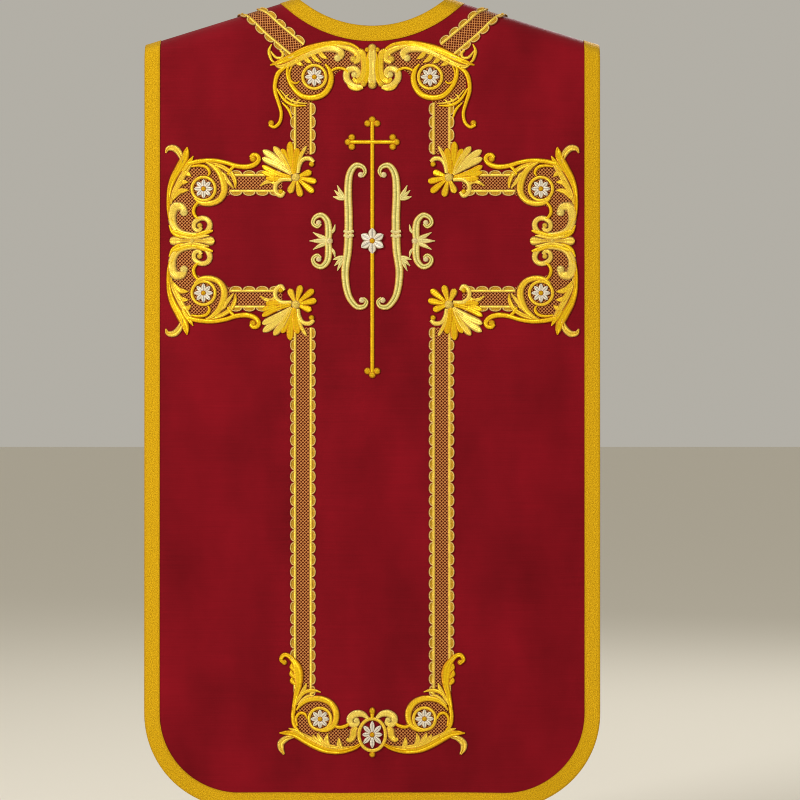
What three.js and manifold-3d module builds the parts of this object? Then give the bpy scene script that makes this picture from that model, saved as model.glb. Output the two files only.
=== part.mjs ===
// A Roman chasuble, the stiff embroidered vestment that hangs from the shoulders in two panels.
//
// Frame: millimetres, +Z up, +X to the wearer's right as seen from behind, the back panel at -Y.
// The origin is the middle of the neck opening, level with the axis of the shoulder fold where
// the fold meets the neck. The cloth is three layers: face cloth, interlining and lining. The
// back panel runs up, over a round fold along each sloping shoulder, and ends at a level seam on
// the front, where the front panel hangs and turns. Trims lie on the face cloth, embroidered
// motifs on the trims, and silver flowers on the motifs.
import * as THREE from "three";
import { mergeVertices } from "three/addons/utils/BufferGeometryUtils.js";
import Module from "manifold-3d";

const wasm = await Module();
wasm.setup();

// ---------------------------------------------------------------- driving dimensions, mm

// Back panel
const backHalfWidth = 319;
const backLength = 1136; // shoulder top at the neck down to the hem
const backCornerRadius = 133;

// Shoulders
const shoulderSlope = 0.311; // fall for each millimetre outwards
const foldRadius = 22; // inside of the lining over the shoulder
const foldFacets = 9; // an odd number, so that a flat facet lies along the top

// Neck opening
const neckHalfWidth = 106; // where the opening crosses the top of the fold
const backNeckRadius = 158;
const frontNeckDrop = 125; // below the origin
const frontNeckCentre = -10; // height of the widest point of the front neckline

// Front panel, narrower at the chest to free the arms
const seamZ = -95;
const frontLength = 1066; // shoulder top at the neck down to the front hem
const chestHalfWidth = 240;
const chestZ = -420;
const skirtHalfWidth = 268;
const skirtZ = -820;
const frontCornerRadius = 110;

// Cloth and trim thicknesses, and the gap between one layer and the next
const liningThickness = 0.6;
const interliningThickness = 0.9;
const faceThickness = 0.8;
const trimThickness = 0.9;
const motifThickness = 1.6;
const flowerThickness = 1.2;
const layGap = 0.3;
const seamGap = 0.6;
const interliningInset = 3;
const liningInset = 1.5;

// Trims
const galloonWidth = 22;
const bandHalfWidth = 18.2; // net ground and its scalloped borders
const groundHalfWidth = 11; // net ground alone, where motifs cover its edges
const bandX = 97; // middle of each upright band from the centre line
const bandClearance = 3;
const bandArmGap = 22; // from an arm's band to the end of the upright one, under the leaf
const upperBandDrop = 36; // from the neck flower to the top of the upper upright band

// The cross on the back
const crossZ = -317.5; // height of the middle of the arms
const armBandRise = 81; // each arm's two bands above and below the middle
const armEndInset = 56; // from the back's edge to the middle of the band that closes the arm
const armFlowerInset = 27; // from that band's middle to the flower of each corner scroll
const armFlowerDrop = 8; // from the middle of the arm's band to that flower
const leafOffset = 10; // each leaf's centre, outwards from the upright band
const leafRise = 8; // and away from the arm's band

// Neck, foot and centre of the orphrey
const flowerPetals = 8;
const centreFlowerPetals = 6;
const flowerRadius = 11.5;
const cartoucheFlowerRadius = 12;
const cartoucheFlowerStretch = 1.3; // height over width
const centreFlowerRadius = 17.5;
const neckFlowerOffset = 16; // inwards from the upright band
const neckFlowerDrop = 72; // below the bottom of the neckline
const neckBandDrop = 49;
const neckClaspDrop = 57;
const shoulderBandOffset = 17; // its lower end, outwards from the upright band
const shoulderBandDrop = 26; // its lower end, below the bottom of the neckline
const shoulderBandReach = 67; // where it crosses the fold, outwards from the neck
const frontBandClearance = 11.5; // between the band and the neck galloon at the front seam
const footFlowerOffset = 24; // inwards from the upright band
const footFlowerRise = 125; // above the hem
const cartoucheRise = 103; // above the hem
const frontBandTurn = -190; // where the front bands turn upright

// Staff cross
const staffTop = -142.5;
const staffFoot = -510;
const staffHalfWidth = 3.2;
const crossbarZ = -179;
const crossbarReach = 39;
const lobeRadius = 4.4;
const lobeSpread = 1.3; // of a trefoil's side lobes, in lobe radii

// ---------------------------------------------------------------- layers, from the inside out

const layerFrom = (inner, thickness) => ({ inner, outer: inner + thickness });
const lining = layerFrom(foldRadius, liningThickness);
const interlining = layerFrom(lining.outer + layGap, interliningThickness);
const face = layerFrom(interlining.outer + layGap, faceThickness);
const trim = layerFrom(face.outer + layGap, trimThickness);
const motif = layerFrom(trim.outer + layGap, motifThickness);
const flower = layerFrom(motif.outer + layGap, flowerThickness);

const ridgeTop = face.outer; // top of the face cloth where the fold meets the neck
const backHemZ = ridgeTop - backLength;
const frontHemZ = ridgeTop - frontLength;
const shoulderTipZ = -shoulderSlope * (backHalfWidth - neckHalfWidth) + ridgeTop;
const backNeckCentre =
  ridgeTop + Math.sqrt(backNeckRadius ** 2 - neckHalfWidth ** 2);
const backNeckBottom = backNeckCentre - backNeckRadius;
const frontNeckHeight = frontNeckDrop + frontNeckCentre;
const frontNeckHalfWidth =
  neckHalfWidth / Math.sqrt(1 - ((ridgeTop - frontNeckCentre) / frontNeckHeight) ** 2);
const shoulderBandTop = neckHalfWidth + shoulderBandReach;
const shoulderBandEnd = [-bandX - shoulderBandOffset, backNeckBottom - shoulderBandDrop];
const armEndX = backHalfWidth - armEndInset;
const cutReach = 400; // how far a cutting shape runs past what it cuts
const cutLap = 0.05; // how far cutting shapes that join lap over each other

// ---------------------------------------------------------------- materials

const finish = (color, roughness, metalness) =>
  new THREE.MeshStandardMaterial({ color, roughness, metalness });
const faceCloth = finish("#86141f", 0.62, 0);
const canvasCloth = finish("#d8cdb4", 0.9, 0);
const liningCloth = finish("#7c1220", 0.45, 0);
const galloonBraid = finish("#cfa31e", 0.45, 0.4);
const netBand = finish("#8e5026", 0.6, 0.2);
const goldThread = finish("#f0c41c", 0.4, 0.4);
const paleGoldThread = finish("#e4d678", 0.4, 0.35);
const silverThread = finish("#e6e4e8", 0.35, 0.3);

// ---------------------------------------------------------------- solids

const X = new THREE.Vector3(1, 0, 0);
const Y = new THREE.Vector3(0, 1, 0);
const Z = new THREE.Vector3(0, 0, 1);

function solidOf(geometry) {
  const bare = geometry.clone().deleteAttribute("normal").deleteAttribute("uv");
  const merged = mergeVertices(bare, 1e-4);
  return new wasm.Manifold(
    new wasm.Mesh({
      numProp: 3,
      vertProperties: new Float32Array(merged.attributes.position.array),
      triVerts: new Uint32Array(merged.index.array),
    }),
  );
}

function geometryOf(solid) {
  const { vertProperties, triVerts } = solid.getMesh();
  const geometry = new THREE.BufferGeometry();
  geometry.setAttribute(
    "position",
    new THREE.BufferAttribute(vertProperties, 3),
  );
  geometry.setIndex(new THREE.BufferAttribute(triVerts, 1));
  geometry.computeVertexNormals();
  return geometry;
}

// An outline drawn in (x, z), as a plate from y = low to y = high.
function plate(points, low, high) {
  const shape = new THREE.Shape(points.map(([x, z]) => new THREE.Vector2(x, z)));
  const geometry = new THREE.ExtrudeGeometry(shape, {
    depth: high - low,
    bevelEnabled: false,
  });
  geometry.applyMatrix4(
    new THREE.Matrix4().makeBasis(X, Z, Y.clone().negate()).setPosition(0, high, 0),
  );
  return geometry;
}

const cutter = (points, low, high) => solidOf(plate(points, low, high));

// A plate laid on the back panel or on the front panel, in one of the layers.
const onBack = (points, layer) => plate(points, -layer.outer, -layer.inner);
const onFront = (points, layer) => plate(points, layer.inner, layer.outer);

// ---------------------------------------------------------------- outlines

const mirrored = (points) => points.map(([x, z]) => [-x, z]).reverse();
const moved = (points, dx, dz) => points.map(([x, z]) => [x + dx, z + dz]);
const turnedOver = (points) => points.map(([x, z]) => [x, -z]).reverse();

function arc(cx, cz, rx, rz, from, to, steps) {
  return Array.from({ length: steps + 1 }, (_, i) => {
    const a = from + ((to - from) * i) / steps;
    return [cx + rx * Math.cos(a), cz + rz * Math.sin(a)];
  });
}

const smooth = (t) => t * t * (3 - 2 * t);
const clamp = (t) => Math.min(1, Math.max(0, t));

// Half the front's width at a height: full at the shoulder, narrow at the chest, wider below.
function frontHalfWidth(z) {
  if (z > chestZ) {
    const rise = clamp((z - chestZ) / (shoulderTipZ - chestZ));
    return chestHalfWidth + (backHalfWidth - chestHalfWidth) * smooth(rise);
  }
  const fall = clamp((chestZ - z) / (chestZ - skirtZ));
  return chestHalfWidth + (skirtHalfWidth - chestHalfWidth) * smooth(fall);
}

// The left side of the front from one height to another, going down.
function frontSide(top, bottom, inset, steps) {
  return Array.from({ length: steps + 1 }, (_, i) => {
    const z = top + ((bottom - top) * i) / steps;
    return [-(frontHalfWidth(z) - inset), z];
  });
}

function roundedHem(halfWidth, hemZ, radius) {
  const turn = Math.PI / 2;
  return [
    ...arc(-halfWidth + radius, hemZ + radius, radius, radius, 2 * turn, 3 * turn, 8),
    ...arc(halfWidth - radius, hemZ + radius, radius, radius, 3 * turn, 4 * turn, 8),
  ];
}

function backOutline(inset) {
  const half = backHalfWidth - inset;
  return [
    [-half, cutReach],
    ...roundedHem(half, backHemZ + inset, backCornerRadius - inset),
    [half, cutReach],
  ];
}

// The front end of the shoulder cloth, from the top of the fold down to the seam.
function strapOutline(inset, bottom = seamZ + seamGap / 2) {
  const side = frontSide(shoulderTipZ, bottom, inset, 4);
  return [
    [-(backHalfWidth - inset), cutReach],
    ...side,
    ...mirrored(side),
    [backHalfWidth - inset, cutReach],
  ];
}

function frontOutline(inset, top = seamZ - seamGap / 2) {
  const side = frontSide(top, frontHemZ + frontCornerRadius, inset, 22);
  const half = frontHalfWidth(frontHemZ + frontCornerRadius) - inset;
  return [
    ...side.slice(0, -1),
    ...roundedHem(half, frontHemZ + inset, frontCornerRadius - inset),
    ...mirrored(side.slice(0, -1)),
  ];
}

const circle = (radius, cz, steps) =>
  arc(0, cz, radius, radius, 0, 2 * Math.PI, steps).slice(0, -1);
const backNeck = (grow) => circle(backNeckRadius + grow, backNeckCentre, 72);
const frontNeck = (grow) =>
  arc(0, frontNeckCentre, frontNeckHalfWidth + grow, frontNeckHeight + grow, 0, 2 * Math.PI, 48)
    .slice(0, -1);

// A strip of even or changing width along a bent path: points are [x, z, half width]. At a bend
// its edges are mitred, though no further than the sharpest mitre lets them run.
const sharpestMitre = 0.6;

function ribbon(path) {
  const left = [];
  const right = [];
  path.forEach(([x, z, half], i) => {
    const before = path[Math.max(i - 1, 0)];
    const after = path[Math.min(i + 1, path.length - 1)];
    const into = new THREE.Vector2(x - before[0], z - before[1]).normalize();
    const out = new THREE.Vector2(after[0] - x, after[1] - z).normalize();
    const along = into.clone().add(out).normalize();
    const mitre = half / Math.max(sharpestMitre, along.dot(i ? into : out));
    left.push([x - along.y * mitre, z + along.x * mitre]);
    right.push([x + along.y * mitre, z - along.x * mitre]);
  });
  return [...right, ...left.reverse()];
}

// A flower seen flat: a round outline that swells once for each petal.
const petalNotch = 0.2;

function flowerOutline(radius, petals, stretch = 1) {
  const steps = petals * 4;
  return Array.from({ length: steps }, (_, i) => {
    const a = (2 * Math.PI * i) / steps + Math.PI / 2;
    const r = radius * (1 - petalNotch * (1 - Math.cos(petals * (a - Math.PI / 2))));
    return [r * Math.cos(a), r * stretch * Math.sin(a)];
  });
}

const cartoucheFlowerOutline = flowerOutline(
  cartoucheFlowerRadius,
  flowerPetals,
  cartoucheFlowerStretch,
);

// ---------------------------------------------------------------- cloth over the shoulders

// One layer of the back: a level sheet behind, a half round over the shoulder and a sheet in
// front, pushed down outwards by the slope of the shoulder, then trimmed to the outlines.
function foldedSheet(layer) {
  const foot = backHemZ - cutReach;
  const outside = arc(0, 0, layer.outer, layer.outer, Math.PI, 0, foldFacets);
  const inside = arc(0, 0, layer.inner, layer.inner, 0, Math.PI, foldFacets);
  const section = [
    [-layer.outer, foot],
    ...outside,
    [layer.outer, foot],
    [layer.inner, foot],
    ...inside,
    [-layer.inner, foot],
  ];
  const width = backHalfWidth + galloonWidth;
  const half = (side) => {
    const shape = new THREE.Shape(section.map(([y, z]) => new THREE.Vector2(y, z)));
    const geometry = new THREE.ExtrudeGeometry(shape, {
      depth: width,
      bevelEnabled: false,
    });
    geometry.applyMatrix4(new THREE.Matrix4().makeBasis(Y, Z, X));
    geometry.translate(side > 0 ? -cutLap : cutLap - width, 0, 0);
    const slope = -side * shoulderSlope;
    const shear = new THREE.Matrix4().set(
      1, 0, 0, 0,
      0, 1, 0, 0,
      slope, 0, 1, shoulderSlope * neckHalfWidth,
      0, 0, 0, 1,
    );
    return solidOf(geometry.applyMatrix4(shear));
  };
  return half(-1).add(half(1));
}

// What is inside the back outline behind the fold and inside the front outline before it.
function bothSides(behind, before) {
  const reach = 2 * flower.outer;
  return cutter(behind, -reach, cutLap).add(cutter(before, 0, reach));
}

const neckCut = (grow) => bothSides(backNeck(grow), frontNeck(grow));

const backCloth = (layer, inset) =>
  foldedSheet(layer)
    .intersect(bothSides(backOutline(inset), strapOutline(inset)))
    .subtract(neckCut(inset));

const frontCloth = (layer, inset) =>
  solidOf(onFront(frontOutline(inset), layer)).subtract(neckCut(inset));

// ---------------------------------------------------------------- trims

const backEdgeGalloon = () =>
  foldedSheet(trim)
    .intersect(bothSides(backOutline(0), strapOutline(0)))
    .subtract(
      bothSides(
        backOutline(galloonWidth),
        strapOutline(galloonWidth, seamZ - galloonWidth),
      ),
    );

const neckGalloonBack = () =>
  foldedSheet(trim)
    .intersect(bothSides(backNeck(galloonWidth), frontNeck(galloonWidth)))
    .intersect(bothSides(backOutline(0), strapOutline(0)))
    .subtract(neckCut(0));

const frontEdgeGalloon = () => {
  const inner = frontOutline(galloonWidth, seamZ + galloonWidth);
  return solidOf(onFront(frontOutline(0), trim)).subtract(
    cutter(inner, 0, 2 * trim.outer),
  );
};

const neckGalloonFront = () =>
  solidOf(onFront(frontOutline(0), trim))
    .intersect(cutter(frontNeck(galloonWidth), 0, 2 * trim.outer))
    .subtract(neckCut(0));

// Where the band over each shoulder crosses the front seam, clear of the neck galloon.
const neckGalloonEdgeAt = (z) => {
  const share = (z - frontNeckCentre) / (frontNeckHeight + galloonWidth);
  return (frontNeckHalfWidth + galloonWidth) * Math.sqrt(1 - share ** 2);
};
const seamBandX = neckGalloonEdgeAt(seamZ) + bandHalfWidth + frontBandClearance;

const shoulderRidge = (x) => ridgeTop - shoulderSlope * (x - neckHalfWidth);

// The band over a shoulder, mitred where it crosses the top of the fold.
function shoulderBand(side) {
  const top = [-shoulderBandTop, shoulderRidge(shoulderBandTop)];
  const seam = [-seamBandX, seamZ + seamGap / 2];
  const fall = Math.atan2(top[1] - shoulderBandEnd[1], shoulderBandEnd[0] - top[0]);
  const reach = bandHalfWidth / Math.sin(fall + Math.atan(shoulderSlope));
  const outer = [top[0] - reach, top[1] - reach * shoulderSlope];
  const inner = [top[0] + reach, top[1] + reach * shoulderSlope];
  const run = [shoulderBandEnd[0] - top[0], shoulderBandEnd[1] - top[1]];
  const behind = [
    [outer[0], cutReach],
    outer,
    [outer[0] + run[0], outer[1] + run[1]],
    [inner[0] + run[0], inner[1] + run[1]],
    inner,
    [inner[0], cutReach],
  ];
  const before = [
    [outer[0], cutReach],
    outer,
    [seam[0] - bandHalfWidth, seam[1]],
    [seam[0] + bandHalfWidth, seam[1]],
    inner,
    [inner[0], cutReach],
  ];
  const region = side < 0
    ? bothSides(behind, before)
    : bothSides(mirrored(behind), mirrored(before));
  return foldedSheet(trim).intersect(region);
}

const uprightBand = (top, bottom) =>
  ribbon([
    [-bandX, top, bandHalfWidth],
    [-bandX, bottom, bandHalfWidth],
  ]);

// One arm's net band, out along the top, round the end and back along the bottom.
function armBand() {
  const inner = -(bandX + bandHalfWidth + bandClearance);
  const turn = groundHalfWidth * 2;
  const rise = armBandRise;
  return moved(
    ribbon([
      [inner, rise, bandHalfWidth],
      [-armEndX + 2 * turn, rise, bandHalfWidth],
      [-armEndX + turn, rise, groundHalfWidth],
      [-armEndX, rise - turn, groundHalfWidth],
      [-armEndX, turn - rise, groundHalfWidth],
      [-armEndX + turn, -rise, groundHalfWidth],
      [-armEndX + 2 * turn, -rise, bandHalfWidth],
      [inner, -rise, bandHalfWidth],
    ]),
    0,
    crossZ,
  );
}

// The net ground that joins two upright bands across the neck or the foot.
function crossingBand(endZ, middleZ) {
  const bend = (endZ + middleZ) / 2;
  const turned = bandX - 2 * groundHalfWidth;
  return ribbon([
    [-bandX, endZ, groundHalfWidth],
    [-bandX, bend, groundHalfWidth],
    [-turned, middleZ, groundHalfWidth],
    [turned, middleZ, groundHalfWidth],
    [bandX, bend, groundHalfWidth],
    [bandX, endZ, groundHalfWidth],
  ]);
}

// The front band: from the seam it runs in to the upright line and then down.
function frontBand(bottom) {
  const top = seamZ - seamGap / 2;
  const side = (offset) => [
    [-seamBandX + offset, top],
    [-bandX + offset, frontBandTurn],
    [-bandX + offset, bottom],
  ];
  return [...side(-bandHalfWidth), ...side(bandHalfWidth).reverse()];
}

// ---------------------------------------------------------------- motifs, each about its flower

// Leaf where arm and upright meet, upper left: palmette inwards, three leaves outwards.
const leafOutline = [
  [2, -10], [10, -26], [4, -30], [20, -22], [30, -8], [22, 0], [14, 6], [26, 18], [18, 28],
  [6, 26], [4, 40], [-6, 50], [-12, 42], [-20, 44], [-18, 34], [-30, 42], [-34, 36],
  [-46, 40], [-46, 28], [-34, 20], [-46, 18], [-44, 8], [-34, 0], [-26, -6], [-30, -18],
  [-20, -22], [-10, -14],
];
const leafReach = -Math.min(...leafOutline.map(([x]) => x));

// Corner scroll of an arm, upper left: horned leaf outside, volute round the flower, and a tail
// that reaches along the band to the leaf at its other end.
const armCornerShape = [
  [-53, 53], [-50, 48], [-40, 50], [-33, 42], [-38, 28], [-48, 12], [-51, -8], [-48, -28],
  [-40, -42], [-8, -42], [-11, -30], [-7, -21], [12, -23], [28, -14], [33, -1], [43, 1],
  [46, 15], [50, 27], [62, 28], [76, 34], [80, 45], [73, 51], [64, 48], [58, 34], [36, 40],
  [15, 42], [-6, 40], [-17, 45], [-22, 58], [-28, 45], [-36, 56], [-45, 60],
];
const tailRoot = 28;
const tailTip = Math.max(...armCornerShape.map(([x]) => x));
const tailRoom = armEndX - armFlowerInset - bandX - leafOffset - leafReach - bandClearance;
const tailStretch = (tailRoom - tailRoot) / (tailTip - tailRoot);
const armCornerOutline = armCornerShape.map(([x, z]) => [
  x > tailRoot ? tailRoot + (x - tailRoot) * tailStretch : x,
  z,
]);

// Scroll at the neck, left: leaf tip outside, volute round the flower, a tail below.
const neckCornerOutline = [
  [-61, 20], [-63, 44], [-52, 30], [-30, 30], [-10, 40], [20, 48], [44, 46], [58, 36],
  [66, 20], [48, 12], [24, 14], [24, -8], [14, -24], [-4, -29], [-20, -42], [-30, -38],
  [-44, -34], [-46, -62], [-56, -70], [-66, -66], [-62, -56], [-52, -50], [-56, -10], [-42, 14],
];

// Scroll at the foot, left: upright leaf with a hook, volute, fans of leaves below.
const footCornerOutline = [
  [-57, 80], [-50, 88], [-40, 84], [-30, 78], [-24, 60], [-27, 46], [-10, 38], [4, 30],
  [18, 22], [23, 4], [18, -10], [33, -12], [34, -38], [14, -45], [-20, -34], [-44, -28],
  [-48, -48], [-56, -46], [-56, -32], [-44, -24], [-57, -20], [-46, -14], [-34, -12],
  [-40, 10], [-36, 36], [-42, 62], [-48, 80], [-52, 74],
];

// Clasp that joins two scrolls: two drops end to end.
const claspOutline = [
  [-31, 0], [-27, 6], [-18, 4], [-20, 14], [-8, 8], [8, 8], [22, 14], [20, 5], [27, 6],
  [31, 0], [27, -6], [20, -5], [22, -14], [8, -8], [-8, -8], [-20, -14], [-18, -4], [-27, -6],
];
const uprightClaspOutline = claspOutline.map(([x, z]) => [-z, x]);

// Oval cartouche of the foot with a bud above and below and a scroll at each side.
const cartoucheOutline = [
  [0, 38], [-5, 33], [-4, 28], [-18, 32], [-32, 26], [-34, 14], [-28, 8], [-36, -8],
  [-22, -6], [-16, -18], [-4, -25], [0, -30], [4, -25], [16, -18], [22, -6], [36, -8],
  [28, 8], [34, 14], [32, 26], [18, 32], [4, 28], [5, 33],
];

// Ornament beside the staff, left: a tall scroll, and a shorter one outside it.
const lyrePath = [
  [-9, 88, 3], [-15, 104, 4], [-27, 104, 5], [-33, 86, 6], [-33, 40, 6], [-35, -10, 6],
  [-40, -50, 5.5], [-30, -82, 5], [-12, -94, 4], [-6, -86, 3],
];
const sideScrollPath = [
  [-86, 10, 3], [-82, 30, 4], [-72, 38, 5], [-62, 28, 6], [-60, 0, 6], [-62, -28, 6],
  [-72, -38, 5], [-82, -30, 4], [-86, -10, 3],
];

const staffSolid = () => {
  const low = -trim.outer;
  const high = -trim.inner;
  const bar = (x0, z0, x1, z1) =>
    cutter([[x0, z0], [x1, z0], [x1, z1], [x0, z1]], low, high);
  const lobe = (x, z) => cutter(moved(circle(lobeRadius, 0, 12), x, z), low, high);
  const trefoil = (x, z, dx, dz) =>
    lobe(x + dx * lobeRadius, z + dz * lobeRadius)
      .add(lobe(x + dz * lobeRadius * lobeSpread, z + dx * lobeRadius * lobeSpread))
      .add(lobe(x - dz * lobeRadius * lobeSpread, z - dx * lobeRadius * lobeSpread));
  const half = staffHalfWidth;
  const end = lobeRadius * 2;
  return bar(-half, staffFoot + end, half, staffTop - end)
    .add(bar(-crossbarReach + end, crossbarZ - half, crossbarReach - end, crossbarZ + half))
    .add(trefoil(0, staffTop - end, 0, 1))
    .add(trefoil(0, staffFoot + end, 0, -1))
    .add(trefoil(-crossbarReach + end, crossbarZ, -1, 0))
    .add(trefoil(crossbarReach - end, crossbarZ, 1, 0));
};

// ---------------------------------------------------------------- assembly

const chasuble = new THREE.Group();
const backPanel = new THREE.Group();
const frontPanel = new THREE.Group();
chasuble.add(backPanel, frontPanel);

function put(group, name, geometry, material) {
  const mesh = new THREE.Mesh(geometry, material);
  mesh.name = name;
  group.add(mesh);
}

// The same outline on the left of the back and, mirrored, on the right.
function putPair(group, name, outline, lay, layer, material) {
  put(group, name + "_left", lay(outline, layer), material);
  put(group, name + "_right", lay(mirrored(outline), layer), material);
}

// Cloth
put(backPanel, "back_lining", geometryOf(backCloth(lining, liningInset)), liningCloth);
put(
  backPanel,
  "back_interlining",
  geometryOf(backCloth(interlining, interliningInset)),
  canvasCloth,
);
put(backPanel, "back_face_cloth", geometryOf(backCloth(face, 0)), faceCloth);
put(frontPanel, "front_lining", geometryOf(frontCloth(lining, liningInset)), liningCloth);
put(
  frontPanel,
  "front_interlining",
  geometryOf(frontCloth(interlining, interliningInset)),
  canvasCloth,
);
put(frontPanel, "front_face_cloth", geometryOf(frontCloth(face, 0)), faceCloth);

// Galloon along every edge
put(backPanel, "back_edge_galloon", geometryOf(backEdgeGalloon()), galloonBraid);
put(backPanel, "neck_galloon_back", geometryOf(neckGalloonBack()), galloonBraid);
put(frontPanel, "front_edge_galloon", geometryOf(frontEdgeGalloon()), galloonBraid);
put(frontPanel, "neck_galloon_front", geometryOf(neckGalloonFront()), galloonBraid);

// Net bands of the back
const neckFlowerAt = [-bandX + neckFlowerOffset, backNeckBottom - neckFlowerDrop];
const upperBandTop = neckFlowerAt[1] - upperBandDrop;
const bandToArm = armBandRise + bandHalfWidth + bandArmGap;
const upperBandFoot = crossZ + bandToArm;
const lowerBandTop = crossZ - bandToArm;
const footFlowerX = -bandX + footFlowerOffset;
const footFlowerZ = backHemZ + footFlowerRise;
const cartoucheZ = backHemZ + cartoucheRise;
put(backPanel, "shoulder_band_left", geometryOf(shoulderBand(-1)), netBand);
put(backPanel, "shoulder_band_right", geometryOf(shoulderBand(1)), netBand);
put(
  backPanel,
  "neck_band",
  onBack(crossingBand(upperBandTop + bandClearance, backNeckBottom - neckBandDrop), trim),
  netBand,
);
putPair(
  backPanel,
  "upper_band",
  uprightBand(upperBandTop, upperBandFoot),
  onBack,
  trim,
  netBand,
);
putPair(backPanel, "arm_band", armBand(), onBack, trim, netBand);
putPair(
  backPanel,
  "lower_band",
  uprightBand(lowerBandTop, footFlowerZ + bandHalfWidth),
  onBack,
  trim,
  netBand,
);
put(
  backPanel,
  "foot_band",
  onBack(crossingBand(footFlowerZ + bandHalfWidth - bandClearance, cartoucheZ), trim),
  netBand,
);

// Embroidered motifs of the back
putPair(
  backPanel,
  "neck_corner_scroll",
  moved(neckCornerOutline, ...neckFlowerAt),
  onBack,
  motif,
  goldThread,
);
put(
  backPanel,
  "neck_clasp",
  onBack(moved(uprightClaspOutline, 0, backNeckBottom - neckClaspDrop), motif),
  goldThread,
);
for (const [row, rise, facing] of [
  ["upper", 1, (outline) => outline],
  ["lower", -1, turnedOver],
]) {
  const flowerAt = [-armEndX + armFlowerInset, crossZ + rise * (armBandRise - armFlowerDrop)];
  putPair(
    backPanel,
    row + "_leaf",
    moved(facing(leafOutline), -bandX - leafOffset, crossZ + rise * (armBandRise + leafRise)),
    onBack,
    motif,
    goldThread,
  );
  putPair(
    backPanel,
    row + "_arm_scroll",
    moved(facing(armCornerOutline), ...flowerAt),
    onBack,
    motif,
    goldThread,
  );
  putPair(
    backPanel,
    row + "_arm_flower",
    moved(flowerOutline(flowerRadius, flowerPetals), ...flowerAt),
    onBack,
    flower,
    silverThread,
  );
}
putPair(
  backPanel,
  "arm_clasp",
  moved(claspOutline, -armEndX + groundHalfWidth, crossZ),
  onBack,
  motif,
  goldThread,
);
putPair(
  backPanel,
  "foot_corner_scroll",
  moved(footCornerOutline, footFlowerX, footFlowerZ),
  onBack,
  motif,
  goldThread,
);
put(
  backPanel,
  "foot_cartouche",
  onBack(moved(cartoucheOutline, 0, cartoucheZ), motif),
  goldThread,
);

// Silver flowers of the back
putPair(
  backPanel,
  "neck_flower",
  moved(flowerOutline(flowerRadius, flowerPetals), ...neckFlowerAt),
  onBack,
  flower,
  silverThread,
);
putPair(
  backPanel,
  "foot_flower",
  moved(flowerOutline(flowerRadius, flowerPetals), footFlowerX, footFlowerZ),
  onBack,
  flower,
  silverThread,
);
put(
  backPanel,
  "cartouche_flower",
  onBack(moved(cartoucheFlowerOutline, 0, cartoucheZ), flower),
  silverThread,
);
put(
  backPanel,
  "centre_flower",
  onBack(moved(flowerOutline(centreFlowerRadius, centreFlowerPetals), 0, crossZ), motif),
  silverThread,
);

// Staff cross and the ornament beside it
put(backPanel, "staff_cross", geometryOf(staffSolid()), goldThread);
putPair(
  backPanel,
  "tall_scroll",
  moved(ribbon(lyrePath), 0, crossZ),
  onBack,
  trim,
  paleGoldThread,
);
putPair(
  backPanel,
  "side_scroll",
  moved(ribbon(sideScrollPath), 0, crossZ),
  onBack,
  trim,
  paleGoldThread,
);

// Orphrey of the front: two bands joined at the foot
const frontFootFlowerZ = frontHemZ + footFlowerRise;
const frontCartoucheZ = frontHemZ + cartoucheRise;
putPair(
  frontPanel,
  "front_band",
  frontBand(frontFootFlowerZ + bandHalfWidth),
  onFront,
  trim,
  netBand,
);
put(
  frontPanel,
  "front_foot_band",
  onFront(
    crossingBand(frontFootFlowerZ + bandHalfWidth - bandClearance, frontCartoucheZ),
    trim,
  ),
  netBand,
);
putPair(
  frontPanel,
  "front_corner_scroll",
  moved(footCornerOutline, footFlowerX, frontFootFlowerZ),
  onFront,
  motif,
  goldThread,
);
put(
  frontPanel,
  "front_cartouche",
  onFront(moved(cartoucheOutline, 0, frontCartoucheZ), motif),
  goldThread,
);
putPair(
  frontPanel,
  "front_flower",
  moved(flowerOutline(flowerRadius, flowerPetals), footFlowerX, frontFootFlowerZ),
  onFront,
  flower,
  silverThread,
);
put(
  frontPanel,
  "front_cartouche_flower",
  onFront(moved(cartoucheFlowerOutline, 0, frontCartoucheZ), flower),
  silverThread,
);

export default chasuble;
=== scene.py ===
# %% [markdown]
# # A Roman chasuble in crimson silk
# A chasuble of this cut is two stiff panels that hang from the shoulders. The back panel is one
# cloth with the shoulders: it runs up the back, folds over each shoulder and ends at a seam on the
# chest, where the front panel hangs. Gold braid, called galloon, binds every edge, and gold
# embroidery draws a cross on the back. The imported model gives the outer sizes, so this script
# starts by loading it.

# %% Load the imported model
import math

import bmesh
import bpy
import numpy as np
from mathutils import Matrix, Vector
from mathutils.geometry import delaunay_2d_cdt


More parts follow.
